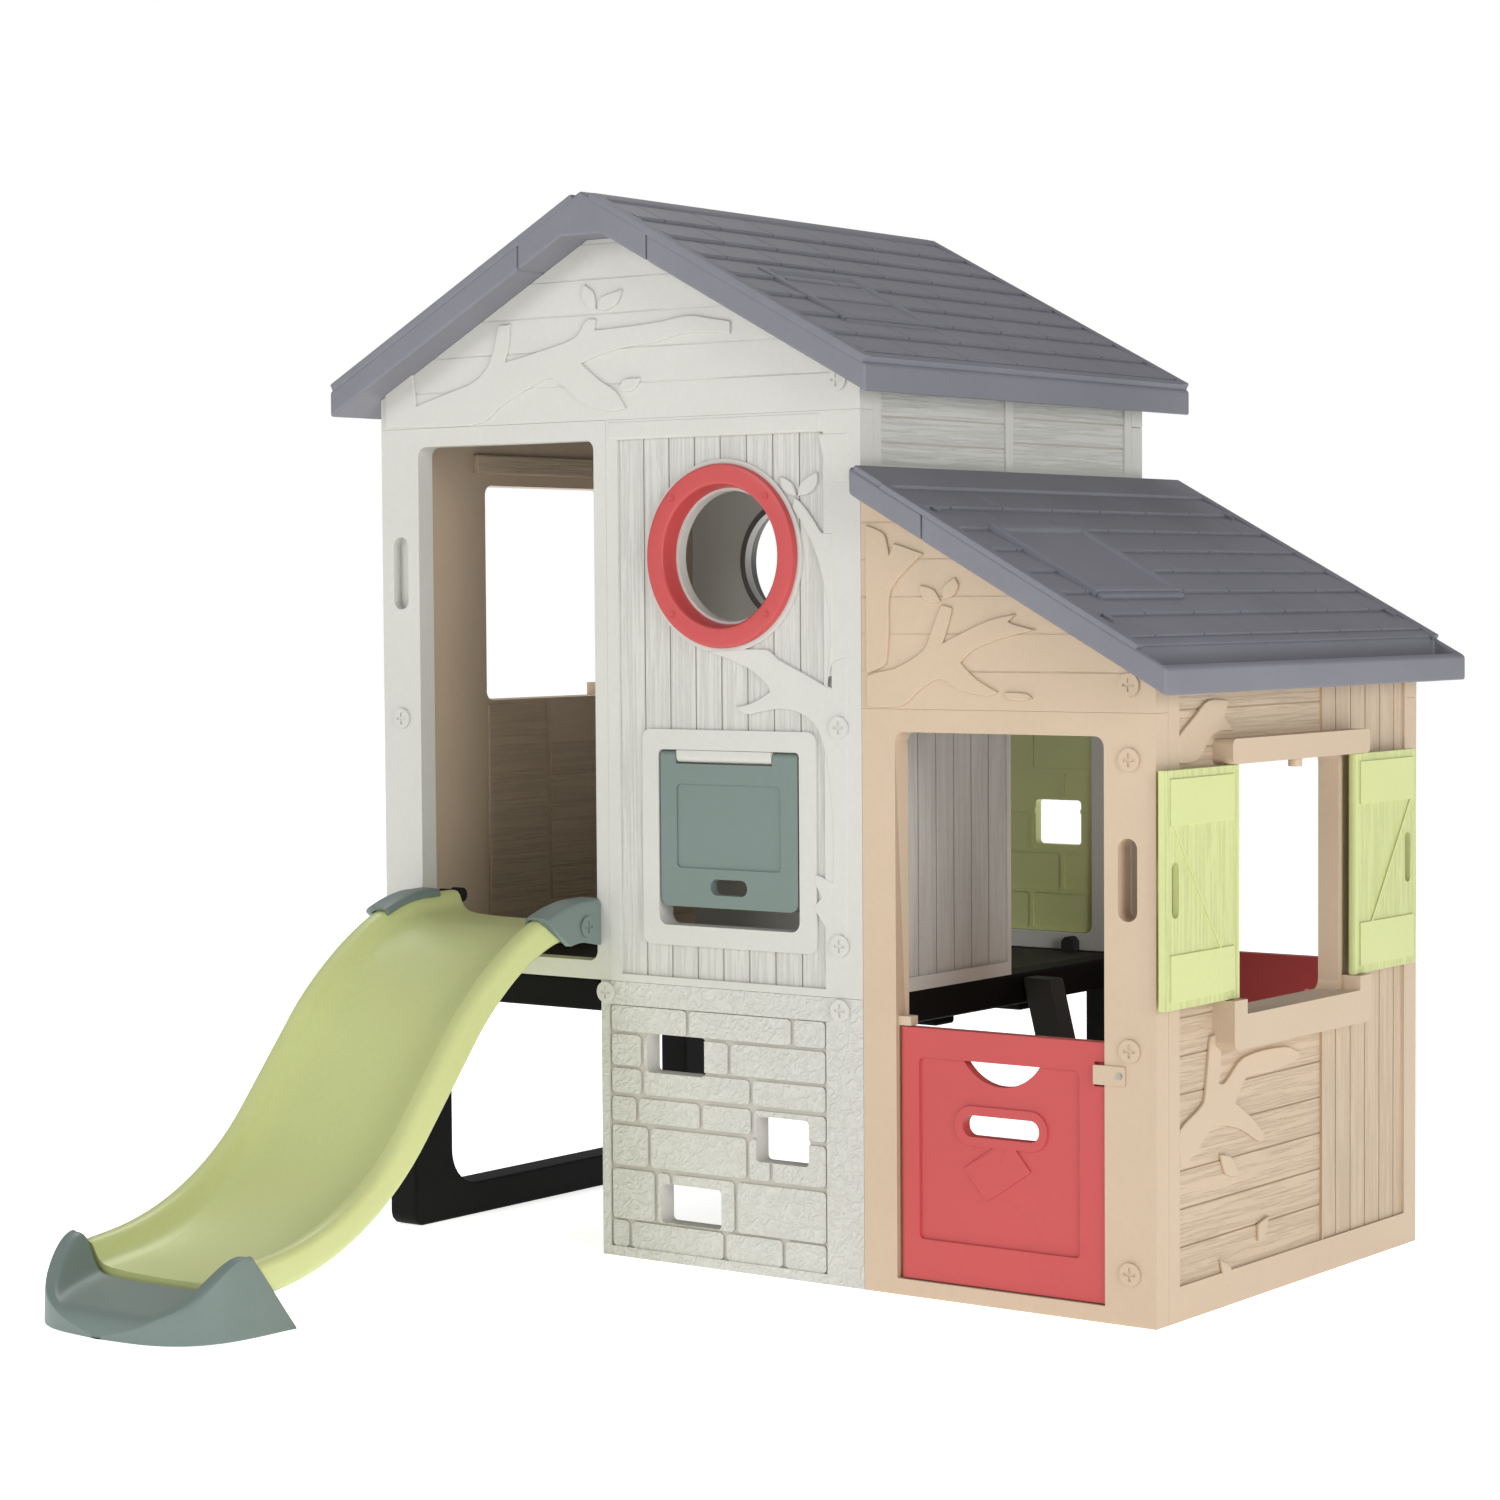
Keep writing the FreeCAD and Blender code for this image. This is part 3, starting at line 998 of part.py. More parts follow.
def slide_caps():
    caps = []
    for side in (-1, 1):
        face = SLIDE_CENTRE + side * (SLIDE_WIDTH / 2 + FIT + BRACKET_THICKNESS)
        caps.append(cap_screw("yz", -2.2 * SCREW_RADIUS, SLIDE_RIM_Z, face, side))
    return Part.makeCompound(caps)


def wall_clips():
    """Two tube clips on the inner face of the left wall."""
    x = LEFT + WALL + FIT
    z = PANEL_FOOT + HATCH_SILL + CLIP_RADIUS
    clips = [rod("yz", WALL + 5 * CLIP_RADIUS + 2.6 * CLIP_RADIUS * step, z, x, x + CLIP_LENGTH, CLIP_RADIUS)
             for step in range(2)]
    return Part.makeCompound(clips)


def deck_lug():
    """The bolted lug at the foot of the rear barrier."""
    x = -HATCH_RIGHT
    y1 = DEPTH - WALL - FIT
    base = block(x - CLIP_RADIUS, y1 - CLIP_LENGTH, DECK_TOP + FIT, x + CLIP_RADIUS, y1, DECK_TOP + CLIP_RADIUS)
    ear = rod("xz", x, DECK_TOP + CLIP_RADIUS, y1 - CLIP_LENGTH, y1, CLIP_RADIUS)
    return base.fuse(ear)


# ---------------------------------------------------------------- the whole house
def build():
    nodes = {"left_leg_frame": left_leg_frame(), "right_rear_post": right_rear_post(),
             "stone_panel": stone_panel()}
    nodes.update(beams())
    nodes.update(deck())

    nodes["front_door_panel"] = door_panel()
    nodes["front_window_panel"] = window_panel(True)
    nodes["rear_door_panel"] = turned_to_rear(door_panel(), MIDDLE)
    nodes["rear_window_panel"] = turned_to_rear(window_panel(False), MIDDLE)
    nodes["front_window_ring"] = window_ring()
    nodes["rear_window_ring"] = turned_to_rear(window_ring(), MIDDLE)
    nodes["front_gable"] = gable()
    nodes["rear_gable"] = turned_to_rear(gable(), MIDDLE)
    nodes["left_wall"] = left_wall()
    nodes["right_wall_panel"] = right_wall_panel()
    nodes["right_wall_header"] = right_wall_header()
    nodes["rear_barrier"] = barrier()
    nodes["hatch_hinge_bar"] = hatch_hinge_bar()
    nodes["hatch_flap"] = hatch_flap()

    nodes["slide_chute"] = slide_chute()
    nodes["slide_foot"] = slide_foot()
    nodes["slide_bracket_left"] = slide_bracket(-1)
    nodes["slide_bracket_right"] = slide_bracket(1)

    nodes["roof_left"] = roof_panel(-1)
    nodes["roof_right"] = roof_panel(1)
    nodes["roof_ridge"] = roof_ridge()

    nodes["ext_front_wall"] = door_lugs(ext_front_wall())
    nodes["ext_rear_wall"] = turned_to_rear(ext_front_wall(), RIGHT / 2)
    nodes["ext_right_wall"] = ext_right_wall()
    nodes["ext_front_gable"] = ext_gable()
    nodes["ext_rear_gable"] = ext_gable().translated(vector(0, DEPTH - WALL, 0))
    nodes["lean_top_strip"] = lean_top_strip()
    nodes["lean_roof"] = lean_roof()
    nodes["half_door"] = half_door()
    nodes["door_catch"] = door_catch()
    nodes["catch_screw"] = catch_screw()
    nodes["rear_play_panel"] = play_panel()
    nodes["shutter_front"] = shutter(-1)
    nodes["shutter_rear"] = shutter(1)
    nodes["window_knob"] = window_knob()
    nodes.update(ladder())

    nodes["screws_tower_front"] = caps_on_front(front_screws())
    nodes["screws_tower_rear"] = turned_to_rear(caps_on_front(front_screws()[:5]), MIDDLE)
    nodes["screws_ext_front"] = caps_on_front(ext_screws())
    nodes["screws_ext_rear"] = turned_to_rear(caps_on_front(ext_screws()[1:]), RIGHT / 2)
    nodes["screws_slide"] = slide_caps()
    nodes["wall_clips"] = wall_clips()
    nodes["deck_lug"] = deck_lug()
    return nodes


def main():
    os.makedirs("parts", exist_ok=True)
    for name, shape in build().items():
        shape.translate(SHIFT)
        if not shape.isValid():
            print("not valid:", name)
        shape.exportStep("parts/%s.step" % name)
        print("%-22s %3d solids  volume %.0f" % (name, len(shape.Solids), shape.Volume))
    print("shift", SHIFT)


main()
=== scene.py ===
"""A plastic garden playhouse on a raised deck, with a slide, a side cabin, a half door, a hatch and shutters."""

import json
import math

import bmesh
import bpy
from bpy.props import FloatProperty, FloatVectorProperty, IntProperty, PointerProperty
from mathutils import Matrix, Vector

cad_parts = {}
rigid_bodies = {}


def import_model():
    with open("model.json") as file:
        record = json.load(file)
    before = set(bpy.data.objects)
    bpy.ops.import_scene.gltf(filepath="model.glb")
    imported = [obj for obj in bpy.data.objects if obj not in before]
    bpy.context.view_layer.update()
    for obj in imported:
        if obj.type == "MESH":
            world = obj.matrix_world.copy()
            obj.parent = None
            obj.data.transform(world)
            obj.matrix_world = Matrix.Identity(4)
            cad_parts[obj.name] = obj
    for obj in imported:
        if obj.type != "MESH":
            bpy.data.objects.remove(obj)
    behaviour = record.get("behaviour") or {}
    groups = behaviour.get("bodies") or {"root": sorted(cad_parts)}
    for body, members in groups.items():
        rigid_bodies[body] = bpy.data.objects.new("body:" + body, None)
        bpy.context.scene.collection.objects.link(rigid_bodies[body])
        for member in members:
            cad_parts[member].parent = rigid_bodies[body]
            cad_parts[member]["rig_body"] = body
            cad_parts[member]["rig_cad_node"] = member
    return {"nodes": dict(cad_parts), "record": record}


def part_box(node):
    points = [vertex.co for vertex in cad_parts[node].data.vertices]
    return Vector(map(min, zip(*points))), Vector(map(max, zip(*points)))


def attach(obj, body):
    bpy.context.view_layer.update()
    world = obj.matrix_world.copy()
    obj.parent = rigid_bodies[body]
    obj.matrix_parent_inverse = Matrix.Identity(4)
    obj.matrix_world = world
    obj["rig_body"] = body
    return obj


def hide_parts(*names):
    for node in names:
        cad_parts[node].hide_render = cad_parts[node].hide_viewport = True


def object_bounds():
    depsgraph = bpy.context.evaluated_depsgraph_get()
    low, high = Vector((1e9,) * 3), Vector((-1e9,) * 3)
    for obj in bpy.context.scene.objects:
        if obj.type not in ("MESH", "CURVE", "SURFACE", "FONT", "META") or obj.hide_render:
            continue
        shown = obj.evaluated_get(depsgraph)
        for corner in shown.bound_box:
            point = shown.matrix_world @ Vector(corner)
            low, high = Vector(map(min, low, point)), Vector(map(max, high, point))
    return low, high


bl_info = {
    "name": "Garden Playhouse",
    "version": (1, 0, 0),
    "blender": (4, 5, 0),
    "location": "3D View > Sidebar > Playhouse",
    "description": "Moulded panels, tiled roofs, slide and openings of a plastic playhouse, round its packed frame",
    "category": "Object",
}

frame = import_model()
CAD_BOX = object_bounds()
MM = 0.001
# The corner where the front wall, the ground and the line between tower and cabin meet.
HOUSE = Vector((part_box("ext_rear_wall")[0].x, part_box("front_beam")[0].y, 0.0))
DEPTH = (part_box("rear_gable")[1].y - HOUSE.y) / MM
TOWER_LEFT = (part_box("left_leg_frame")[0].x - HOUSE.x) / MM
CABIN_RIGHT = (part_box("ext_rear_wall")[1].x - HOUSE.x) / MM + 0.3
DECK = (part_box("deck_left")[1].z - HOUSE.z) / MM


def at(x, y, z):
    """A place given in millimetres from the house's corner, in the row frame."""
    return HOUSE + Vector((x, y, z)) * MM


def node_box(node):
    """A node's lowest and highest corners in millimetres from the house's corner."""
    low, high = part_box(node)
    return (low - HOUSE) / MM, (high - HOUSE) / MM


def tint(red, green, blue):
    """A colour as it is seen, 0 to 255, as the linear numbers that a shader works in."""
    return tuple((c / 12.92 if c <= 0.04045 else ((c + 0.055) / 1.055) ** 2.4)
                 for c in (red / 255, green / 255, blue / 255))


# ---------------------------------------------------------------- settings
def colour(name, what, default):
    return FloatVectorProperty(name=name, description=what, default=default, subtype="COLOR", size=3, min=0.0, max=1.0)


def length(name, what, default):
    return FloatProperty(name=name, description=what, default=default, unit="LENGTH", subtype="DISTANCE", precision=4)


def turn(name, what, degrees):
    return FloatProperty(name=name, description=what, default=math.radians(degrees), subtype="ANGLE")


class PlayhouseColours(bpy.types.PropertyGroup):
    white: colour("White", "Tower panels, gables and stone plinth", tint(204, 204, 198))
    beige: colour("Beige", "Cabin walls and the tower's left wall", tint(201, 180, 155))
    slate: colour("Slate", "Roofs", tint(124, 124, 132))
    red: colour("Red", "Half door and front ring", tint(193, 74, 74))
    lime: colour("Lime", "Slide, shutters and barrier", tint(204, 212, 146))
    sage: colour("Sage", "Hatch, slide foot and slide brackets", tint(114, 130, 125))
    black: colour("Black", "Legs and beams", tint(9, 9, 9))
    charcoal: colour("Charcoal", "Deck and ladder", tint(52, 53, 51))
    ring_grey: colour("Ring grey", "Rear ring", tint(98, 95, 93))
    steel: colour("Steel", "Catch screw", tint(170, 170, 168))
    floor: colour("Floor", "Studio floor", tint(250, 250, 250))


class PlayhouseSizes(bpy.types.PropertyGroup):
    edge: length("Edge rounding", "Rounding of the panels' edges", 2.2 * MM)
    relief: length("Relief height", "How far the tree shapes stand above the boards", 6.2 * MM)
    tile_lift: length("Tile lift", "Height of a roof tile's lower edge", 8.0 * MM)
    tile_rows: IntProperty(name="Tile rows", description="Rows of tiles on the cabin roof", default=7, min=1)
    tile_count: FloatProperty(name="Tiles in a row", description="Tiles across one row", default=6.5, min=1.0)
    slide_slope: turn("Slide slope", "Steepest slope of the slide", 50.0)
    slide_end_slope: turn("Slide end slope", "Slope of the slide's end", 7.0)
    slide_top_radius: length("Slide top radius", "Radius of the slide's upper bend", 420.0 * MM)
    slide_foot_radius: length("Slide foot radius", "Radius of the slide's lower bend", 500.0 * MM)


# ---------------------------------------------------------------- finishes
class Signal:
    """One value on its way through a finish; arithmetic on it adds Math nodes."""

    def __init__(self, finish, socket):
        self.finish, self.socket = finish, socket

    def math(self, operation, first, second):
        return self.finish.node("ShaderNodeMath", {"operation": operation}, {0: first, 1: second})

    def __add__(self, other):
        return self.math("ADD", self, other)

    def __sub__(self, other):
        return self.math("SUBTRACT", self, other)

    def __rsub__(self, other):
        return self.math("SUBTRACT", other, self)

    def __mul__(self, other):
        return self.math("MULTIPLY", self, other)

    __radd__ = __add__
    __rmul__ = __mul__


class Finish:
    """A material made of nodes."""

    def __init__(self, name):
        self.material = bpy.data.materials.new(name)
        self.material.use_nodes = True
        self.tree = self.material.node_tree
        self.tree.nodes.clear()

    def node(self, kind, settings=None, values=None, output=0):
        """Adds a node, with its settings first and then its sockets' values or links; returns one output."""
        made = self.tree.nodes.new(kind)
        for key, value in (settings or {}).items():
            setattr(made, key, value)
        for key, value in (values or {}).items():
            if isinstance(value, Signal):
                self.tree.links.new(value.socket, made.inputs[key])
            else:
                made.inputs[key].default_value = value
        return Signal(self, made.outputs[output])

    def place(self):
        return self.node("ShaderNodeTexCoord", output="Object")

    def stretched(self, place, scale):
        return self.node("ShaderNodeMapping", {}, {"Vector": place, "Scale": scale})

    def noise(self, place, scale, detail=2.0, roughness=0.5, distortion=0.0):
        return self.node("ShaderNodeTexNoise", {}, {"Vector": place, "Scale": scale, "Detail": detail,
                                                   "Roughness": roughness, "Distortion": distortion}, "Fac")

    def ramp(self, value, low, high):
        """0 below low, 1 above high and even between."""
        return self.node("ShaderNodeMapRange", {}, {"Value": value, "From Min": low, "From Max": high})

    def mix(self, factor, first, second):
        return self.node("ShaderNodeMix", {"data_type": "RGBA"}, {0: factor, 6: first, 7: second}, 2)

    def bump(self, height, distance, strength):
        return self.node("ShaderNodeBump", {}, {"Height": height, "Distance": distance, "Strength": strength})

    def surface(self, values):
        shader = self.node("ShaderNodeBsdfPrincipled", {}, values)
        output = self.tree.nodes.new("ShaderNodeOutputMaterial")
        self.tree.links.new(shader.socket, output.inputs["Surface"])
        return self.material


def shade(rgb, factor, warm=0.0):
    """A colour made darker or lighter, and a little warmer, with its alpha."""
    return (min(1.0, rgb[0] * factor * (1 + warm)), min(1.0, rgb[1] * factor), min(1.0, rgb[2] * factor * (1 - warm)), 1.0)


GRAINS = {"upright": (170.0, 170.0, 5.0), "level_x": (5.0, 170.0, 170.0), "level_y": (170.0, 5.0, 170.0)}


def moulded(name, rgb, gloss=0.46, grain=None, texture=1.0, shine=0.5):
    """Moulded plastic: an even pigment with faint clouds, a fine skin, and wood grain pressed into it where asked."""
    finish = Finish(name)
    place = finish.place()
    cloud = finish.noise(place, 3.1, 3.0)
    fleck = finish.noise(place, 95.0, 2.0)
    skin = finish.noise(place, 620.0, 2.0, 0.6)
    height = skin * 0.35 * texture + fleck * 0.25 * texture
    tone = finish.ramp(cloud, 0.3, 0.7) * 0.7 + finish.ramp(fleck, 0.35, 0.65) * 0.3
    if grain:
        along = finish.stretched(place, GRAINS[grain])
        lines = finish.noise(along, 1.0, 4.0, 0.62, 0.6)
        deep = finish.ramp(lines, 0.42, 0.52)
        height = height + deep * 0.9 + lines * 1.1
        tone = tone * 0.45 + deep * 0.55
    skin_colour = finish.mix(tone, shade(rgb, 0.87 if grain else 0.95, 0.012), shade(rgb, 1.03))
    rough = fleck * 0.10 + skin * 0.06 + (gloss - 0.08)
    return finish.surface({"Base Color": skin_colour, "Roughness": rough, "IOR": 1.49, "Specular IOR Level": shine,
                           "Normal": finish.bump(height, 0.9 * MM if grain else 0.6 * MM, 0.7 if grain else 0.3)})


def hewn_stone(name, rgb):
    """Plastic moulded from rough stone: lumps, chipped edges and a fine grit."""
    finish = Finish(name)
    place = finish.place()
    lumps = finish.noise(place, 24.0, 3.0, 0.55, 0.8)
    chips = finish.ramp(finish.noise(place, 62.0, 2.0, 0.5, 1.5), 0.38, 0.62)
    grit = finish.noise(place, 420.0, 2.0, 0.6)
    tone = lumps * 0.5 + chips * 0.3 + grit * 0.2
    return finish.surface({"Base Color": finish.mix(finish.ramp(tone, 0.3, 0.7), shade(rgb, 0.94, 0.01), shade(rgb, 1.03)),
                           "Roughness": grit * 0.12 + 0.5, "IOR": 1.49,
                           "Normal": finish.bump(lumps * 1.0 + chips * 0.45 + grit * 0.05, 6.0 * MM, 0.55)})


def slate_plastic(name, rgb):
    """Roof plastic with a soft stone-like skin, chalky on the high spots."""
    finish = Finish(name)
    place = finish.place()
    cloud = finish.noise(place, 4.3, 4.0, 0.6)
    grit = finish.noise(place, 240.0, 3.0, 0.7)
    streak = finish.noise(finish.stretched(place, (60.0, 9.0, 60.0)), 1.0, 3.0)
    tone = finish.ramp(cloud, 0.3, 0.7) * 0.5 + finish.ramp(grit, 0.35, 0.7) * 0.25 + streak * 0.25
    return finish.surface({"Base Color": finish.mix(tone, shade(rgb, 0.88), shade(rgb, 1.12)),
                           "Roughness": grit * 0.14 + 0.46, "IOR": 1.45, "Specular IOR Level": 0.35,
                           "Normal": finish.bump(grit * 0.7 + streak * 0.5, 0.6 * MM, 0.38)})


def brushed_steel(name, rgb):
    """A zinc-plated screw head, turned in fine rings and dull in places."""
    finish = Finish(name)
    place = finish.place()
    rings = finish.noise(finish.stretched(place, (900.0, 40.0, 900.0)), 1.0, 2.0)
    dull = finish.noise(place, 160.0, 3.0)
    return finish.surface({"Base Color": finish.mix(dull, shade(rgb, 0.8), shade(rgb, 1.05)), "Metallic": 1.0,
                           "Roughness": dull * 0.25 + 0.22, "Normal": finish.bump(rings, 0.1 * MM, 0.4)})


def studio_floor(name, rgb):
    """Pale seamless paper with a faint tooth."""
    finish = Finish(name)
    place = finish.place()
    tooth = finish.noise(place, 300.0, 2.0)
    drift = finish.noise(place, 0.7, 2.0)
    return finish.surface({"Base Color": finish.mix(drift, shade(rgb, 0.985), shade(rgb, 1.0)),
                           "Roughness": tooth * 0.1 + 0.85, "Normal": finish.bump(tooth, 0.2 * MM, 0.1),
                           "Emission Color": (1.0, 1.0, 1.0, 1.0), "Emission Strength": 0.8})


def finishes():
    """Every finish by name, made once."""
    made = bpy.data.materials
    if "white_smooth" in made:
        return made
    c = bpy.context.scene.playhouse_colours
    for name in ("white", "beige"):
        rgb = getattr(c, name)
        moulded(name + "_smooth", rgb, 0.44)
        for grain in GRAINS:
            moulded(f"{name}_{grain}", rgb, 0.5, grain)
        # The groove finish is darker and warmer than the boards: painted shade in the grooves.
        moulded(name + "_groove", shade(rgb, 0.74, 0.06)[:3], 0.6)
    hewn_stone("white_stone", shade(c.white, 0.98)[:3])
    # A darker finish for the joints between the stones: painted shade in the recessed joints.
    moulded("white_mortar", shade(c.white, 0.86, 0.03)[:3], 0.65, texture=2.0)
    for name, gloss, shine in (("red", 0.40, 0.5), ("lime", 0.40, 0.5), ("sage", 0.46, 0.5), ("black", 0.6, 0.12),
                               ("charcoal", 0.6, 0.12), ("ring_grey", 0.48, 0.5)):
        moulded(name + "_smooth", getattr(c, name), gloss, shine=shine)
    moulded("lime_upright", c.lime, 0.48, "upright")
    # A darker lime for the shutters' grooves: painted shade.
    moulded("lime_groove", shade(c.lime, 0.82)[:3], 0.55)
    slate_plastic("roof_slate", c.slate)
    brushed_steel("plated_steel", c.steel)
    studio_floor("studio_floor", c.floor)
    return made


# ---------------------------------------------------------------- making and shaping
SHARP = math.radians(35.0)  # edges that turn by less than this are left as they are
FLAT = math.radians(0.6)  # faces that turn by less than this are one face


def deselect():
    if bpy.context.object and bpy.context.object.mode != "OBJECT":
        bpy.ops.object.mode_set(mode="OBJECT")
    bpy.ops.object.select_all(action="DESELECT")


def pick(*pieces):
    """Selects these pieces only; the last one is active."""
    deselect()
    for piece in pieces:
        piece.select_set(True)
    bpy.context.view_layer.objects.active = pieces[-1]


def fix_place(piece):
    """Puts the piece's place into its mesh."""
    pick(piece)
    bpy.ops.object.transform_apply(location=True, rotation=True, scale=True)


def select_parts(piece, kind, test):
    """In edit mode, selects the edges, faces or vertices that pass the test; returns how many."""
    bpy.ops.mesh.select_all(action="DESELECT")
    bpy.ops.mesh.select_mode(type={"verts": "VERT", "edges": "EDGE", "faces": "FACE"}[kind])
    shape = bmesh.from_edit_mesh(piece.data)
    shape.normal_update()
    count = 0
    for part in getattr(shape, kind):
        if test(part):
            part.select_set(True)
            count += 1
    shape.select_flush_mode()
    bmesh.update_edit_mesh(piece.data)
    return count


def width_beside(edge, face):
    """How far a face reaches from one of its edges."""
    line = (edge.verts[1].co - edge.verts[0].co).normalized()
    start = edge.verts[0].co
    return max(((v.co - start) - line * (v.co - start).dot(line)).length for v in face.verts)


def everywhere(place):
    return True


def bevel_sharp(piece, size, steps, least, where=everywhere):
    """Rounds sharp edges whose two faces are wide enough to take it."""
    def fits(edge):
        if len(edge.link_faces) != 2 or edge.calc_face_angle(0.0) < SHARP:
            return False
        if not where((edge.verts[0].co + edge.verts[1].co) / 2):
            return False
        return min(width_beside(edge, face) for face in edge.link_faces) > size * least
    if select_parts(piece, "edges", fits):
        bpy.ops.mesh.bevel(offset=size, segments=steps, profile=0.5, affect="EDGES", clamp_overlap=True,
                           miter_outer="SHARP")


def smooth(piece, angle=38.0):
    pick(piece)
    bpy.ops.object.shade_smooth_by_angle(angle=math.radians(angle))
    flat = piece.modifiers.new("Flat faces", "WEIGHTED_NORMAL")
    flat.keep_sharp = True
    bpy.ops.object.modifier_apply(modifier=flat.name)


def dress(piece, *names):
    """Gives a piece its finishes, the first one all over."""
    made = finishes()
    piece.data.materials.clear()
    for name in names:
        piece.data.materials.append(made[name])


def settle(piece, name, body, slot, nodes=()):
    """Names a finished piece, says what it rides on and hides the nodes it stands for; the slot argument is not used.
    """
    piece.name = piece.data.name = name
    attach(piece, body)
    if nodes:
        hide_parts(*nodes)
    return piece


def shell_of(node):
    """A copy of a node's mesh with its loose triangles joined into whole faces."""
    pick(frame["nodes"][node])
    bpy.ops.object.duplicate()
    shell = bpy.context.object
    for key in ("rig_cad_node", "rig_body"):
        if key in shell:
            del shell[key]
    bpy.ops.mesh.customdata_custom_splitnormals_clear()
    bpy.ops.object.mode_set(mode="EDIT")
    bpy.ops.mesh.select_all(action="SELECT")
    bpy.ops.mesh.remove_doubles(threshold=0.02 * MM)
    bpy.ops.mesh.dissolve_limited(angle_limit=FLAT)
    return shell


def body_of(node):
    for body, members in frame["record"]["behaviour"]["bodies"].items():
        if node in members:
            return body
    raise ValueError(f"{node} is on no body")


def soften(node, slot, finish_names, bold=None, bold_size=None, where_finish=None, edge=None, prepare=None):
    """Replaces a node with a copy whose edges are rounded, some of them more, with a finish for each face."""
    sizes = bpy.context.scene.playhouse_sizes
    shell = shell_of(node)
    if prepare:
        prepare(shell)
    if bold:
        bevel_sharp(shell, bold_size, 3, 1.6, bold)
    bevel_sharp(shell, edge or sizes.edge, 2, 1.5)
    bpy.ops.object.mode_set(mode="OBJECT")
    dress(shell, *finish_names)
    if where_finish:
        for face in shell.data.polygons:
            face.material_index = where_finish((face.center - HOUSE) / MM, face.normal)
    smooth(shell)
    return settle(shell, node + "_shell", body_of(node), slot, [node])


def cube(low, high):
    """A box from one corner to the other, in millimetres, as the start of a piece."""
    deselect()
    bpy.ops.mesh.primitive_cube_add(size=1.0)
    piece = bpy.context.object
    low, high = Vector(low) * MM, Vector(high) * MM
    piece.location, piece.scale = (low + high) / 2, high - low
    bpy.ops.object.transform_apply(location=True, rotation=True, scale=True)
    return piece


def rounded_bar(low, high, size):
    """A box with every edge rounded."""
    piece = cube(low, high)
    bpy.ops.object.mode_set(mode="EDIT")
    bpy.ops.mesh.select_all(action="SELECT")
    bpy.ops.mesh.bevel(offset=size * MM, segments=2, affect="EDGES", clamp_overlap=True)
    bpy.ops.object.mode_set(mode="OBJECT")
    return piece


def stamp(piece, matrix):
    """A copy of a piece, with its own mesh, set down by a matrix."""
    pick(piece)
    bpy.ops.object.duplicate()
    copy = bpy.context.object
    copy.matrix_world = matrix
    return copy


def merge(pieces):
    """Joins pieces into one and puts its place into its mesh."""
    pick(*pieces)
    if len(pieces) > 1:
        bpy.ops.object.join()
    piece = bpy.context.object
    fix_place(piece)
    return piece


def remove(piece):
    pick(piece)
    bpy.ops.object.delete()


def section_face(section, place):
    """One flat face with the outline of a section; place gives each point's position."""
    deselect()
    bpy.ops.mesh.primitive_circle_add(vertices=len(section), radius=0.1, fill_type="NGON")
    piece = bpy.context.object
    for vertex, (across, up) in zip(piece.data.vertices, section):
        vertex.co = place(across, up)
    bpy.ops.object.mode_set(mode="EDIT")
    bpy.ops.mesh.select_all(action="SELECT")
    return piece


def mend(piece):
    """Joins doubled points and turns every face outwards."""
    pick(piece)
    bpy.ops.object.mode_set(mode="EDIT")
    bpy.ops.mesh.select_all(action="SELECT")
    bpy.ops.mesh.remove_doubles(threshold=0.01 * MM)
    bpy.ops.mesh.normals_make_consistent(inside=False)
    bpy.ops.object.mode_set(mode="OBJECT")


# ---------------------------------------------------------------- walls
WALLS = {  # node: (outward axis, side, grain, colour)
    "front_door_panel": ("y", -1, "upright", "white"),
    "front_window_panel": ("y", -1, "upright", "white"),
    "front_gable": ("y", -1, "level_x", "white"),
    "rear_door_panel": ("y", 1, "upright", "white"),
    "rear_window_panel": ("y", 1, "upright", "white"),
    "rear_gable": ("y", 1, "level_x", "white"),
    "right_wall_panel": ("x", 1, "side", "white"),
    "right_wall_header": ("x", 1, "level_y", "white"),
    "left_wall": ("x", -1, "side", "beige"),
    "ext_front_wall": ("y", -1, "upright", "beige"),
    "ext_rear_wall": ("y", 1, "upright", "beige"),
    "ext_front_gable": ("y", -1, "level_x", "beige"),
    "ext_rear_gable": ("y", 1, "level_x", "beige"),
    "ext_right_wall": ("x", 1, "side", "beige"),
}
WALL_FACES = {"y-1": 0.0, "y1": DEPTH}
PLANK_LAP = 0.35  # how much of their lap a gable's planks keep
LINTEL_DROP = 24.0  # how far the wall over the inner doorway reaches down behind the cabin roof
HEADER_START = 1408.0  # where the tower's right wall changes from upright boards to planks
PLANK_END = 578.0  # where a side wall's planks meet its upright boards


def wall_face(node, axis, side):
    """Where a wall's outer face lies along its axis."""
    if axis == "y":
        return WALL_FACES[f"y{side}"]
    if node == "ext_right_wall":
        return CABIN_RIGHT
    if node == "left_wall":
        return TOWER_LEFT
    return node_box(node)[1].x


def board_test(node, axis, side, grain, name):
    """For a wall: 0 on smooth faces, 1 on planks or boards, 2 in grooves (a darker finish, painted shade), 3 on a side
    wall's upright boards.
    """
    number = "xyz".index(axis)
    face_at = wall_face(node, axis, side)

    def choose(centre, normal):
        depth = (face_at - centre[number]) * side
        if grain == "level_x":
            return 1 if 0.1 < depth < 2.6 and abs(normal[number]) > 0.8 else 0
        if 6.3 < depth < 8.5 or (5.1 < depth <= 6.9 and abs(normal[number]) < 0.5):
            return 2
        if 4.2 < depth < 5.9 and abs(normal[number]) > 0.8:
            if grain == "side":
                if name == "white":
                    return 3 if centre.z < HEADER_START else 1
                return 3 if centre.y > PLANK_END else 1
            return 1
        return 0
    return choose


def flatten_planks(shell):
    """Makes a gable's planks lap by less, so that they show as thin lines."""
    middle_y = sum(vertex.co.y for vertex in shell.data.vertices) / len(shell.data.vertices)
    face_at, side = (0.0, -1) if middle_y < at(0, DEPTH / 2, 0).y else (DEPTH, 1)
    if select_parts(shell, "verts", lambda v: 0.3 < (face_at - (v.co.y - HOUSE.y) / MM) * side < 6.5):
        bpy.ops.transform.resize(value=(1, PLANK_LAP, 1), center_override=at(0, face_at, 0))


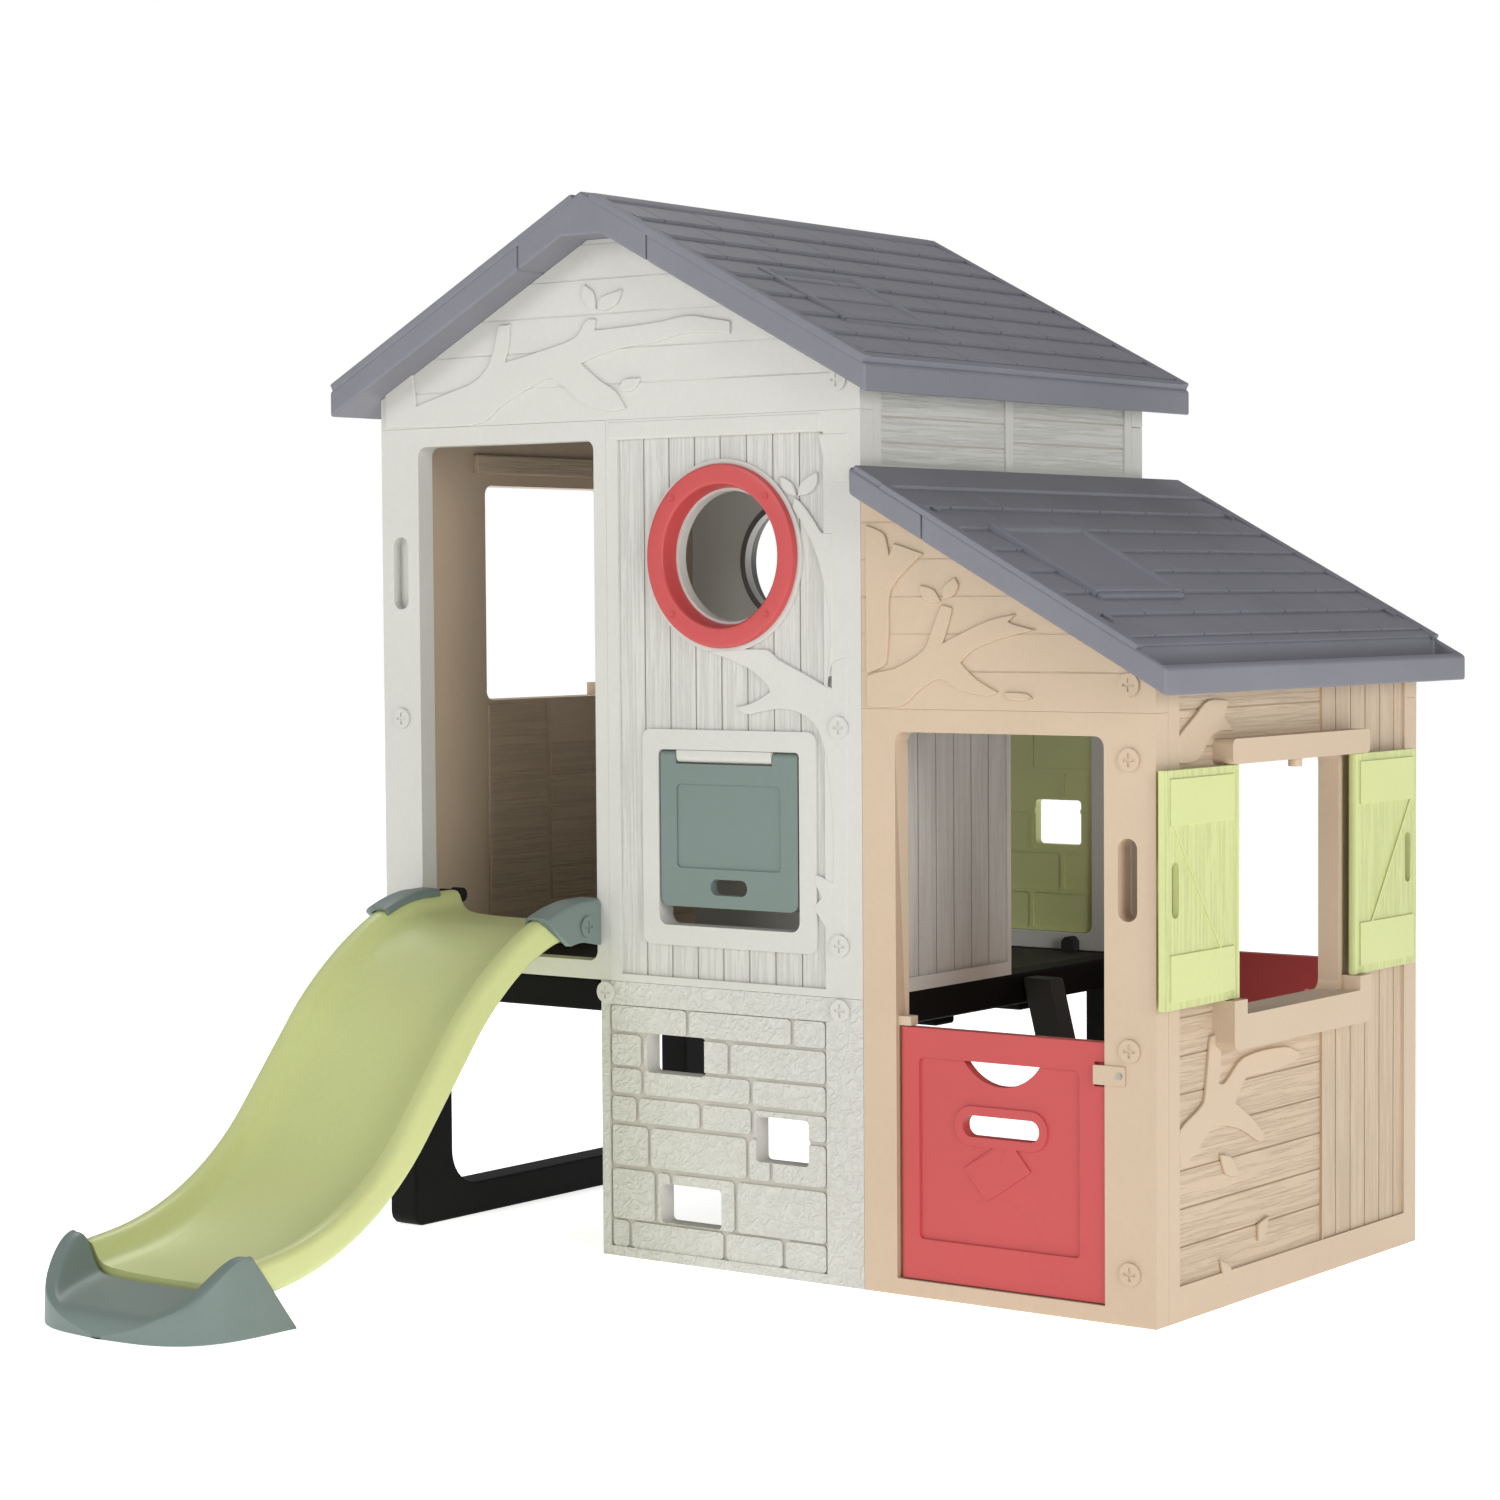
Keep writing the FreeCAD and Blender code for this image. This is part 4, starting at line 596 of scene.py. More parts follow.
def lower_lintel(shell):
    """Brings the lower edge of the wall over the inner doorway behind the cabin roof's rounded top edge."""
    bottom = min(vertex.co.z for vertex in shell.data.vertices)
    select_parts(shell, "verts", lambda v: v.co.z < bottom + 1 * MM)
    bpy.ops.transform.translate(value=(0, 0, -LINTEL_DROP * MM))


class PLAYHOUSE_OT_walls(bpy.types.Operator):
    """Softens the wall panels and gables, gives their boards grain, and paints shade into their grooves with a darker
    finish
    """
    bl_idname = "playhouse.walls"
    bl_label = "Walls"

    def execute(self, context):
        for node, (axis, side, grain, name) in WALLS.items():
            main = {"side": "level_y"}.get(grain, grain)
            names = [name + "_smooth", f"{name}_{main}", name + "_groove", name + "_upright"]
            outer = wall_face(node, axis, side)
            prepare = flatten_planks if node.endswith("gable") else None

            def proud(place, outer=outer, side=side):
                return ((place - HOUSE).x / MM - outer) * side > 4.0
            soften(node, name, names, bold=proud if grain == "side" and name == "beige" else None, bold_size=6 * MM,
                   where_finish=board_test(node, axis, side, grain, name),
                   prepare=lower_lintel if node == "right_wall_header" else prepare)

        # Faces of the stone panel: 0 on the smooth border, 1 on the stones, 2 in the joints, which get the painted
        # shade finish.
        def stones(centre, normal):
            if centre.y > 12:
                return 0
            return 1 if centre.y < 3.5 and abs(normal.y) > 0.5 else 2
        soften("stone_panel", "white", ["white_smooth", "white_stone", "white_mortar"], where_finish=stones, edge=1.8 * MM)
        return {"FINISHED"}


# ---------------------------------------------------------------- tree shapes on the walls
FRONT_SHAPES = {  # outlines on the tower's front, across and up in millimetres
    "gable_branch": [(-1085, 1515), (-1083, 1600), (-1040, 1618), (-1021, 1634), (-1008, 1552), (-927, 1574), (-861, 1593),
                     (-828, 1622), (-812, 1660), (-803, 1691), (-777, 1692), (-780, 1655), (-789, 1624), (-692, 1643),
                     (-621, 1662), (-594, 1692), (-575, 1691), (-577, 1672), (-498, 1675), (-423, 1680), (-363, 1687),
                     (-312, 1679), (-273, 1672), (-273, 1651), (-372, 1656), (-438, 1644), (-514, 1637), (-575, 1625),
                     (-608, 1614), (-568, 1583), (-530, 1561), (-507, 1529), (-542, 1525), (-607, 1543), (-675, 1590),
                     (-732, 1574), (-797, 1546), (-847, 1515), (-977, 1512)],
    "gable_leaf_a": [(-601, 1755), (-578, 1739), (-574, 1709), (-594, 1716), (-607, 1735)],
    "gable_leaf_b": [(-570, 1709), (-563, 1729), (-513, 1741), (-524, 1718), (-551, 1706)],
    "gable_leaf_c": [(-522, 1567), (-511, 1581), (-473, 1582), (-488, 1562), (-511, 1559)],
    "header_strip": [(-550, 1506), (-84, 1506), (-84, 1476), (-550, 1476)],
    "ring_tree": [(-138, 1362), (-124, 1352), (-99, 1323), (-82, 1301), (-60, 1300), (-60, 1032), (-76, 1032), (-66, 1107),
                  (-66, 1152), (-80, 1221), (-100, 1279), (-127, 1324), (-143, 1345)],
    "ring_leaf_a": [(-169, 1399), (-145, 1388), (-134, 1365), (-150, 1368), (-166, 1380)],
    "ring_leaf_b": [(-132, 1365), (-125, 1388), (-92, 1405), (-91, 1387), (-106, 1370)],
    "top_tree": [(-88, 1470), (-79, 1435), (-64, 1390), (-24, 1389), (-24, 1470)],
    "wall_tree": [(-331, 1095), (-281, 1082), (-231, 1062), (-199, 1037), (-194, 1026), (-234, 1006), (-270, 999),
                  (-246, 986), (-211, 992), (-171, 997), (-130, 990), (-99, 971), (-82, 939), (-71, 893), (-64, 838),
                  (-61, 764), (-62, 700), (-99, 712), (-99, 695), (-87, 672), (-104, 655), (-81, 625), (-62, 603),
                  (-33, 603), (-31, 800), (-30, 1087), (-63, 1077), (-73, 1036), (-120, 1058), (-176, 1083), (-202, 1100)],
}
CABIN_SHAPES = {
    "cabin_branch": [(12, 1312), (50, 1297), (60, 1260), (70, 1280), (129, 1262), (64, 1203), (58, 1126), (51, 1075),
                     (12, 1060)],
    "cabin_tree": [(14, 1004), (85, 1006), (121, 1033), (161, 1052), (201, 1034), (256, 1024), (277, 1031), (232, 1054),
                   (203, 1080), (228, 1100), (287, 1121), (350, 1134), (310, 1143), (297, 1148), (312, 1160), (256, 1149),
                   (168, 1112), (180, 1146), (187, 1171), (166, 1176), (148, 1139), (130, 1101), (73, 1070), (53, 1066),
                   (14, 1056)],
    "cabin_leaf_a": [(122, 1209), (150, 1202), (164, 1182), (142, 1180), (126, 1192)],
    "cabin_leaf_b": [(170, 1186), (168, 1205), (192, 1222), (200, 1209), (190, 1192)],
    "cabin_leaf_c": [(290, 1031), (333, 1029), (344, 1021), (317, 1017), (294, 1022)],
}
SIDE_SHAPES = {  # outlines on the cabin's right wall, back from its front and up
    "side_tree": [(78, 316), (156, 351), (167, 387), (181, 458), (218, 462), (214, 410), (208, 378), (228, 376), (292, 411),
                  (439, 414), (494, 399), (490, 388), (390, 377), (304, 377), (264, 338), (328, 303), (369, 270),
                  (352, 261), (280, 292), (191, 306), (127, 271), (92, 255), (78, 257)],
    "side_leaf_a": [(214, 257), (250, 249), (280, 213), (232, 222)],
    "side_leaf_b": [(383, 130), (371, 103), (346, 92), (346, 121)],
    "side_leaf_c": [(214, 80), (249, 63), (255, 33), (226, 45)],
    "side_branch": [(75, 958), (126, 990), (174, 1016), (243, 1014), (227, 987), (260, 963), (192, 960), (134, 918), (75, 916)],
}
GABLE_LIFT = 3.8  # planks of a gable lie at its front, so its shapes stand further out
SUNK = 0.4  # how far a shape's back goes into the boards
BOARD_DEPTH = 5.0  # boards lie this far behind a panel's smooth border


def cut_out(name, outline, thickness, softness):
    """A flat shape with rounded edges, as a mesh lying on the ground plane."""
    deselect()
    curve = bpy.data.curves.new(name, "CURVE")
    curve.dimensions, curve.fill_mode = "2D", "BOTH"
    spline = curve.splines.new("BEZIER")
    spline.bezier_points.add(len(outline) - 1)
    corners = [Vector((across * MM, up * MM, 0.0)) for across, up in outline]
    for number, point in enumerate(spline.bezier_points):
        before, here, after = corners[number - 1], corners[number], corners[(number + 1) % len(corners)]
        bend = max(0.0, (here - before).normalized().dot((after - here).normalized()))
        line = (after - before).normalized() * 0.36 * bend
        point.handle_left_type = point.handle_right_type = "FREE"
        point.co = here
        point.handle_left = here - line * (here - before).length
        point.handle_right = here + line * (after - here).length
    spline.use_cyclic_u = True
    curve.resolution_u = 4
    curve.extrude = thickness * MM / 2 - softness * MM
    curve.bevel_depth, curve.bevel_resolution, curve.offset = softness * MM, 2, -softness * MM
    piece = bpy.data.objects.new(name, curve)
    bpy.context.scene.collection.objects.link(piece)
    pick(piece)
    bpy.ops.object.convert(target="MESH")
    piece = bpy.context.object
    mend(piece)
    return piece


ON_FRONT = Matrix(((1, 0, 0, 0), (0, 0, -1, 0), (0, 1, 0, 0), (0, 0, 0, 1)))
ON_SIDE = Matrix(((0, 0, 1, 0), (1, 0, 0, 0), (0, 1, 0, 0), (0, 0, 0, 1)))


def moved(x, y, z):
    """A move by so many millimetres."""
    return Matrix.Translation(Vector((x, y, z)) * MM)


def half_turn(centre_x, centre_y):
    """Half a turn about an upright line."""
    return moved(centre_x, centre_y, 0) @ Matrix.Rotation(math.pi, 4, "Z") @ moved(-centre_x, -centre_y, 0)


def settle_shape(piece, matrix, name, colour_name):
    """Sets a relief shape down on its wall."""
    piece.matrix_world = Matrix.Translation(HOUSE) @ matrix
    fix_place(piece)
    mend(piece)
    dress(piece, colour_name + "_smooth")
    smooth(piece, 50)
    settle(piece, name, "house", colour_name)


def door_letter():
    """The letter shape under the half door's slot, with its folded flap."""
    face = node_box("half_door")[0].y
    letter = [(245, 177), (331, 233), (286, 284), (199, 229)]
    flap = [(204, 231), (267, 235), (285, 279)]
    for name, outline, thickness, lift in (("door_letter", letter, 3.4, 2.0), ("door_letter_flap", flap, 1.6, 1.2)):
        piece = cut_out(name, outline, thickness, 0.6 if thickness < 2 else 1.2)
        piece.matrix_world = Matrix.Translation(at(0, face + lift + thickness / 2, 0)) @ ON_FRONT
        fix_place(piece)
        dress(piece, "red_smooth")
        smooth(piece, 50)
        settle(piece, name, "half_door", "red")


def inside_boards():
    """Planks and a post moulded on the inner face of the tower's left wall."""
    inner = node_box("left_leg_frame")[0].x + 40.0
    bars = [rounded_bar((inner - 2, 440, 530 + 63 * row), (inner + 3.5, 898, 588 + 63 * row), 2.0) for row in range(6)]
    bars.append(rounded_bar((inner - 2, 250, 530), (inner + 6, 425, 985), 4.0))
    bars.append(rounded_bar((inner - 2, 215, 1432), (inner + 14, 680, 1470), 5.0))
    boards = merge(bars)
    boards.matrix_world = Matrix.Translation(HOUSE)
    fix_place(boards)
    dress(boards, "beige_level_y")
    smooth(boards)
    settle(boards, "inside_boards", "house", "beige")


class PLAYHOUSE_OT_shapes(bpy.types.Operator):
    """Adds the tree branches and leaves that stand out from the boards"""
    bl_idname = "playhouse.shapes"
    bl_label = "Tree shapes"

    def execute(self, context):
        height = context.scene.playhouse_sizes.relief / MM
        into_front = moved(0, BOARD_DEPTH + SUNK - height / 2, 0) @ ON_FRONT
        into_side = moved(CABIN_RIGHT - BOARD_DEPTH - SUNK + height / 2, 0, 0) @ ON_SIDE
        other_cabin = moved(0, DEPTH, 0) @ Matrix.Diagonal((1, -1, 1, 1))
        other_side = moved(TOWER_LEFT + CABIN_RIGHT, 0, DECK) @ Matrix.Diagonal((-1, 1, 1, 1))
        for shapes, matrix, colour_name, other in (
                (FRONT_SHAPES, into_front, "white", half_turn(TOWER_LEFT / 2, DEPTH / 2)),
                (CABIN_SHAPES, into_front, "beige", other_cabin), (SIDE_SHAPES, into_side, "beige", other_side)):
            for name, outline in shapes.items():
                piece = cut_out(name, outline, height, 1.8)
                twin = stamp(piece, Matrix.Identity(4))
                proud = moved(0, -GABLE_LIFT if name.startswith(("gable", "cabin")) else 0, 0)
                settle_shape(piece, proud @ matrix, name, colour_name)
                settle_shape(twin, other @ proud @ matrix, name + "_far", colour_name)
        door_letter()
        inside_boards()
        return {"FINISHED"}


# ---------------------------------------------------------------- base, deck and ladder
class PLAYHOUSE_OT_base(bpy.types.Operator):
    """Rounds the legs, beams, deck and ladder"""
    bl_idname = "playhouse.base"
    bl_label = "Base and ladder"

    def execute(self, context):
        low, high = node_box("left_leg_frame")

        def ground_corner(place):
            place = (place - HOUSE) / MM
            return place.z < 1 and min(abs(place.y - low.y), abs(place.y - high.y)) < 1
        soften("left_leg_frame", "black", ["black_smooth"], bold=ground_corner, bold_size=24 * MM, edge=6 * MM)
        for node in ("right_rear_post", "front_beam", "rear_beam", "left_beam", "right_beam",
                     "joist_front", "joist_rear"):
            soften(node, "black", ["black_smooth"], bold=everywhere, bold_size=6 * MM)
        for node in ("deck_left", "deck_right", "ladder_rail_front", "ladder_rail_rear", "ladder_tread_1", "ladder_tread_2"):
            soften(node, "charcoal", ["charcoal_smooth"], bold=everywhere, bold_size=5 * MM)
        return {"FINISHED"}


# ---------------------------------------------------------------- roofs
TOWER_SLOPE, CABIN_SLOPE = math.radians(28.0), math.radians(28.6)
TOWER_ROWS = 8
ROOF_BORDER = 22.0  # width of the smooth strip along each gable
RIDGE_ROLL = 40.0  # where the tiles begin beside the ridge
LEDGE_START, CABIN_TILES, CABIN_EAVE = 30.0, 96.0, 555.0  # the cabin roof's ledge, first tiles and last tiles, across
CABIN_BREAK = 172.3  # where the cabin roof's lower panel begins, across


def slope_frame(origin, slope, side):
    """A frame on a roof: first axis down the slope, second along the ridge, third out of the roof."""
    down = Vector((side * math.cos(slope), 0, -math.sin(slope)))
    along = Vector((0, side, 0))
    out = down.cross(along)
    matrix = Matrix((down, along, out)).transposed().to_4x4()
    matrix.translation = HOUSE + Vector(origin) * MM
    return matrix


def roof_tile(run, width, lift):
    """One tile: thin at its upper end, thick at its lower end, with worn edges."""
    tile = cube((0, -width / 2, -9), (run, width / 2, lift))
    bpy.ops.object.mode_set(mode="EDIT")
    select_parts(tile, "verts", lambda v: v.co.x < 1 * MM and v.co.z > 0)
    bpy.ops.transform.translate(value=(0, 0, (2.2 - lift) * MM))
    select_parts(tile, "edges", lambda e: min(v.co.z for v in e.verts) > 0 and max(v.co.x for v in e.verts) > 1 * MM)
    bpy.ops.mesh.bevel(offset=2.4 * MM, segments=3, affect="EDGES", clamp_overlap=True)
    bpy.ops.object.mode_set(mode="OBJECT")
    return tile


def tiled(place, run, rows, across, count, lift):
    """Rows of tiles, each row shifted by half a tile from the one above."""
    pitch, width = run / rows, across / count
    tile = roof_tile(pitch + 0.6, width - 3.0, lift)
    copies = []
    for row in range(rows):
        shift = 0.0 if row % 2 else 0.5
        number = 0
        left = -across / 2 - shift * width
        while left + number * width < across / 2 - 1:
            start, end = max(left + number * width, -across / 2), min(left + (number + 1) * width, across / 2)
            if end - start > 8:
                squeeze = (end - start - 3.0) / (width - 3.0)
                copies.append(stamp(tile, place @ moved(row * pitch, (start + end) / 2, 0)
                                    @ Matrix.Diagonal((1, squeeze, 1, 1))))
            number += 1
    remove(tile)
    return merge(copies)


def strip_on(place, low, high, size=3.0):
    """A smooth raised strip on a roof."""
    strip = rounded_bar(low, high, size)
    strip.matrix_world = place
    fix_place(strip)
    return strip


def roof_window(place, low, high, lift):
    """A raised blind skylight with a sunk pane and a lip at its lower side."""
    frame_piece = cube((low[0], low[1], -9), (high[0], high[1], lift))
    bpy.ops.object.mode_set(mode="EDIT")
    select_parts(frame_piece, "faces", lambda f: f.normal.z > 0.9)
    bpy.ops.mesh.inset(thickness=14 * MM, depth=0)
    bpy.ops.mesh.inset(thickness=5 * MM, depth=-6 * MM)
    select_parts(frame_piece, "edges", lambda e: e.calc_face_angle(0.0) > 0.4 and min(v.co.z for v in e.verts) > 0)
    bpy.ops.mesh.bevel(offset=2.6 * MM, segments=3, affect="EDGES", clamp_overlap=True)
    bpy.ops.object.mode_set(mode="OBJECT")
    lip = rounded_bar((high[0] - 4, low[1] + 6, -1), (high[0] + 12, high[1] - 6, lift - 4), 3.5)
    piece = merge([lip, frame_piece])
    piece.matrix_world = place
    fix_place(piece)
    return piece


def roof_cap(place, spot):
    """A small arrow-shaped fixing."""
    cap = rounded_bar((-11, -5, -1), (11, 5, 3.5), 1.6)
    bpy.ops.object.mode_set(mode="EDIT")
    select_parts(cap, "verts", lambda v: v.co.x > 8 * MM)
    bpy.ops.transform.resize(value=(1, 0.25, 1))
    bpy.ops.object.mode_set(mode="OBJECT")
    cap.matrix_world = place @ moved(*spot, 0)
    fix_place(cap)
    return cap


def settle_tiles(parts, name):
    piece = merge(parts)
    dress(piece, "roof_slate")
    smooth(piece)
    settle(piece, name, "house", "slate")


class PLAYHOUSE_OT_roof(bpy.types.Operator):
    """Rounds the roof panels and adds their tiles, borders, skylights and fixings"""
    bl_idname = "playhouse.roof"
    bl_label = "Roofs"

    def execute(self, context):
        sizes = context.scene.playhouse_sizes
        lift = sizes.tile_lift / MM
        for node in ("roof_left", "roof_right", "roof_ridge", "lean_top_strip", "lean_roof"):
            soften(node, "slate", ["roof_slate"], bold=everywhere, bold_size=(5 if node == "roof_ridge" else 7) * MM)

        ridge_low, ridge_high = node_box("roof_ridge")
        across = ridge_high.y - ridge_low.y
        edge_y = across / 2 - ROOF_BORDER / 2
        ridge_x = (ridge_low.x + ridge_high.x) / 2
        # Tower: both slopes, from beside the ridge to the eave.
        for node, side in (("roof_left", -1), ("roof_right", 1)):
            low, high = node_box(node)
            place = slope_frame((ridge_x + side * RIDGE_ROLL, DEPTH / 2, ridge_high.z - RIDGE_ROLL * math.tan(TOWER_SLOPE)),
                                TOWER_SLOPE, side)
            run = (abs((high.x if side > 0 else low.x) - ridge_x) - RIDGE_ROLL) / math.cos(TOWER_SLOPE)
            tiles = tiled(place, run - 26, TOWER_ROWS, across - 2 * ROOF_BORDER, sizes.tile_count, lift)
            strips = [strip_on(place, (-24, sign * edge_y - ROOF_BORDER / 2, -9),
                               (run - 4, sign * edge_y + ROOF_BORDER / 2, lift - 1)) for sign in (-1, 1)]
            strips.append(strip_on(place, (-30, -across / 2 + 12, -6), (0, across / 2 - 12, 6), 4.5))
            strips.append(strip_on(place, (run - 24, -across / 2 + 4, -9), (run - 3, across / 2 - 4, lift - 3)))
            window = roof_window(place, (271, side * -260 - 142), (476, side * -260 + 142), 11)
            settle_tiles([tiles, *strips, window], node + "_tiles")

        # Cabin: one slope that starts under a smooth ledge.
        surface = node_box("lean_roof")[1].z + (CABIN_BREAK - CABIN_TILES) * math.tan(CABIN_SLOPE)
        place = slope_frame((CABIN_TILES, DEPTH / 2, surface), CABIN_SLOPE, 1)
        run = (CABIN_EAVE - CABIN_TILES) / math.cos(CABIN_SLOPE)
        tiles = tiled(place, run, sizes.tile_rows, across - 2 * ROOF_BORDER, sizes.tile_count, lift)
        ledge = (CABIN_TILES - LEDGE_START) / math.cos(CABIN_SLOPE) - 2
        strips = [strip_on(place, (-8, sign * edge_y - ROOF_BORDER / 2, -3),
                           (run + 30, sign * edge_y + ROOF_BORDER / 2, lift)) for sign in (-1, 1)]
        strips.append(strip_on(place, (-ledge, -across / 2 + 3, -4), (2, across / 2 - 3, lift + 1), 5.0))
        strips.append(strip_on(place, (run, -across / 2 + 4, -3), (run + 24, across / 2 - 4, lift - 4)))
        window = roof_window(place, (150, 43 - DEPTH / 2), (383, 328 - DEPTH / 2), 15)
        caps = [roof_cap(place @ moved(0, 0, lift - 1), spot) for spot in ((82, -505), (82, 505), (465, -505), (465, 505))]
        settle_tiles([tiles, *strips, window, *caps], "lean_roof_tiles")
        return {"FINISHED"}


# ---------------------------------------------------------------- slide
CHUTE_SECTION = [  # half of the chute across its run: out from the middle, and up from the rim
    (0, -61), (150, -61), (196, -59), (203, -53), (205, -44), (205, -14), (203, -6), (198, -1.5), (191, 0), (180, 0),
    (173, -2.5), (168, -8), (163.5, -19), (158, -29), (147, -37), (128, -41), (90, -43.5), (45, -44.6), (0, -45)]
FOOT_ROWS = [  # back to front: place along the slide, lip height, bed height, height of the outer side
    (-787, 3, 3, 2), (-800, 12, 12, 19), (-830, 30, 30, 60), (-857, 42, 42, 98), (-880, 45, 45, 128),
    (-882, 118, 62, 131), (-886, 131, 64, 134), (-894, 135, 63, 136), (-910, 132, 60, 131), (-928, 122, 57, 120),
    (-946, 107, 54, 104), (-964, 90, 51, 87), (-980, 74, 49, 71), (-996, 60, 47, 57), (-1010, 49, 44, 47),
    (-1021, 38, 37, 37), (-1029, 22, 22, 22), (-1033, 3, 3, 3)]
FOOT_COLUMNS = [  # out from the middle: share of the half width, share of the lip's rise
    (0.0, 0.0), (0.25, 0.0), (0.5, 0.01), (0.64, 0.04), (0.72, 0.16), (0.775, 0.5), (0.815, 0.82), (0.85, 0.96), (0.9, 1.0),
    (0.945, 1.0), (0.965, 0.98)]
SLIDE_LEAD = -50.0  # where the slide starts to bend down
CREST_RISE, CREST_RUN = 41.0, 320.0  # height of the slide's crest, and how far its rise spreads
CREST_START = -340.0
CHUTE_TONGUE = 62.0  # how far the chute runs on into the foot
CHUTE_DEPTH = 61.0  # from the rim down to the underside
CAP_TURN = math.radians(13.5)  # how far a bracket follows the slide's upper bend
FOOT_CORNER = 204.0  # how far from its tip the foot starts to narrow
CAP_SECTION = [  # one bracket across the run: out from the slide's middle, and up from the rim
    (221, -78), (221, -3), (218, 4), (211, 8), (176, 8), (168, 5.5), (164.5, -1), (164, -7), (169, -7), (172, 0), (178, 2.5),
    (200, 1.5), (206, -4), (206, -78)]


def raise_crest(piece):
    """Lifts the slide's upper end so that it rises to a crest at the wall."""
    for vertex in piece.data.vertices:
        part = min(max(((vertex.co.y - HOUSE.y) / MM - CREST_START) / CREST_RUN, 0.0), 1.0)
        vertex.co.z += CREST_RISE * MM * part * part * (3 - 2 * part)


class PLAYHOUSE_OT_slide(bpy.types.Operator):
    """Sweeps the slide's chute, and shapes its foot and brackets"""
    bl_idname = "playhouse.slide"
    bl_label = "Slide"

    def execute(self, context):
        sizes = context.scene.playhouse_sizes
        low, high = node_box("slide_chute")
        middle = (low.x + high.x) / 2
        steep, ending = sizes.slide_slope, sizes.slide_end_slope
        top_radius, foot_radius = sizes.slide_top_radius / MM, sizes.slide_foot_radius / MM
        end_height = low.z + CHUTE_DEPTH * math.cos(ending)
        drop = top_radius * (1 - math.cos(steep)) + foot_radius * (math.cos(ending) - math.cos(steep))
        straight = (high.z - end_height - drop) / math.sin(steep)

        section = CHUTE_SECTION + [(-x, z) for x, z in reversed(CHUTE_SECTION[1:-1])]
        chute = section_face(section, lambda x, z: at(middle + x, high.y, high.z + z))
        bpy.ops.mesh.extrude_region_move(TRANSFORM_OT_translate={"value": (0, (SLIDE_LEAD - high.y) * MM, 0)})
        bpy.ops.mesh.spin(steps=16, angle=-steep, center=at(middle, SLIDE_LEAD, high.z - top_radius), axis=(1, 0, 0))
        bend_y = SLIDE_LEAD - top_radius * math.sin(steep)
        bend_z = high.z - top_radius * (1 - math.cos(steep))
        bpy.ops.mesh.extrude_region_move(TRANSFORM_OT_translate={
            "value": (0, -straight * math.cos(steep) * MM, -straight * math.sin(steep) * MM)})
        end_y, end_z = bend_y - straight * math.cos(steep), bend_z - straight * math.sin(steep)
        bpy.ops.mesh.spin(steps=16, angle=steep - ending, axis=(1, 0, 0),
                          center=at(middle, end_y - foot_radius * math.sin(steep), end_z + foot_radius * math.cos(steep)))
        bpy.ops.mesh.extrude_region_move(TRANSFORM_OT_translate={
            "value": (0, -CHUTE_TONGUE * math.cos(ending) * MM, -CHUTE_TONGUE * math.sin(ending) * MM)})
        bpy.ops.object.mode_set(mode="OBJECT")
        raise_crest(chute)
        mend(chute)
        dress(chute, "lime_smooth")
        smooth(chute, 50)
        settle(chute, "slide_chute_shell", "house", "lime", ["slide_chute"])

        columns = FOOT_COLUMNS + [(0.972, 1.0), (0.984, 1.0), (0.992, 0.5), (0.999, 0.1), (1.0, 0.0)]
        columns = [(-share, rise) for share, rise in reversed(columns[1:])] + columns
        deselect()
        bpy.ops.mesh.primitive_grid_add(x_subdivisions=len(columns) - 1, y_subdivisions=len(FOOT_ROWS) - 1, size=1.0)
        foot = bpy.context.object
        tip = FOOT_ROWS[-1][0]
        half_width = (high.x - low.x) / 2 + 9.0
        for vertex in foot.data.vertices:
            share, rise = columns[round((vertex.co.x + 0.5) * (len(columns) - 1))]
            y, lip, bed, side = FOOT_ROWS[round((vertex.co.y + 0.5) * (len(FOOT_ROWS) - 1))]
            into = max(0.0, tip + FOOT_CORNER - y)
            half = half_width * (1.0 - (into / FOOT_CORNER) ** 3) ** (1 / 3)
            height = side * rise if abs(share) > 0.97 else bed + (lip - bed) * rise
            vertex.co = at(middle + share * half, y, height)
        bpy.ops.object.mode_set(mode="EDIT")
        select_parts(foot, "edges", lambda e: e.is_boundary)
        bpy.ops.mesh.edge_face_add()
        bpy.ops.mesh.inset(thickness=5 * MM, depth=0)
        bpy.ops.object.mode_set(mode="OBJECT")
        mend(foot)
        rounding = foot.modifiers.new("Rounding", "SUBSURF")
        rounding.levels = rounding.render_levels = 2
        bpy.ops.object.modifier_apply(modifier=rounding.name)
        dress(foot, "sage_smooth")
        smooth(foot, 45)
        settle(foot, "slide_foot_shell", "house", "sage", ["slide_foot"])

        for node, side in (("slide_bracket_left", -1), ("slide_bracket_right", 1)):
            cap = section_face(CAP_SECTION, lambda x, z, side=side: at(middle + side * x, -1.5, high.z + z))
            bpy.ops.mesh.extrude_region_move(TRANSFORM_OT_translate={"value": (0, (SLIDE_LEAD + 1.5) * MM, 0)})
            bpy.ops.mesh.spin(steps=6, angle=-CAP_TURN, center=at(middle, SLIDE_LEAD, high.z - top_radius),
                              axis=(1, 0, 0))
            bpy.ops.object.mode_set(mode="OBJECT")
            for vertex in cap.data.vertices:  # its lower edge is shorter, so that its end slants
                place = (vertex.co - HOUSE) / MM
                if math.hypot(min(place.y - SLIDE_LEAD, 0), place.z - high.z + top_radius) < top_radius - 40:
                    vertex.co.y = at(0, place.y * 0.66, 0).y
                    vertex.co.z -= 0.14 * place.y * MM
            raise_crest(cap)
            mend(cap)
            bpy.ops.object.mode_set(mode="EDIT")
            bevel_sharp(cap, 1.6 * MM, 2, 1.2)
            bpy.ops.object.mode_set(mode="OBJECT")
            dress(cap, "sage_smooth")
            smooth(cap)
            settle(cap, node + "_shell", "house", "sage", [node])
        return {"FINISHED"}


# ---------------------------------------------------------------- doors, hatch, shutters and rings
RING_WIDTH = 47.0


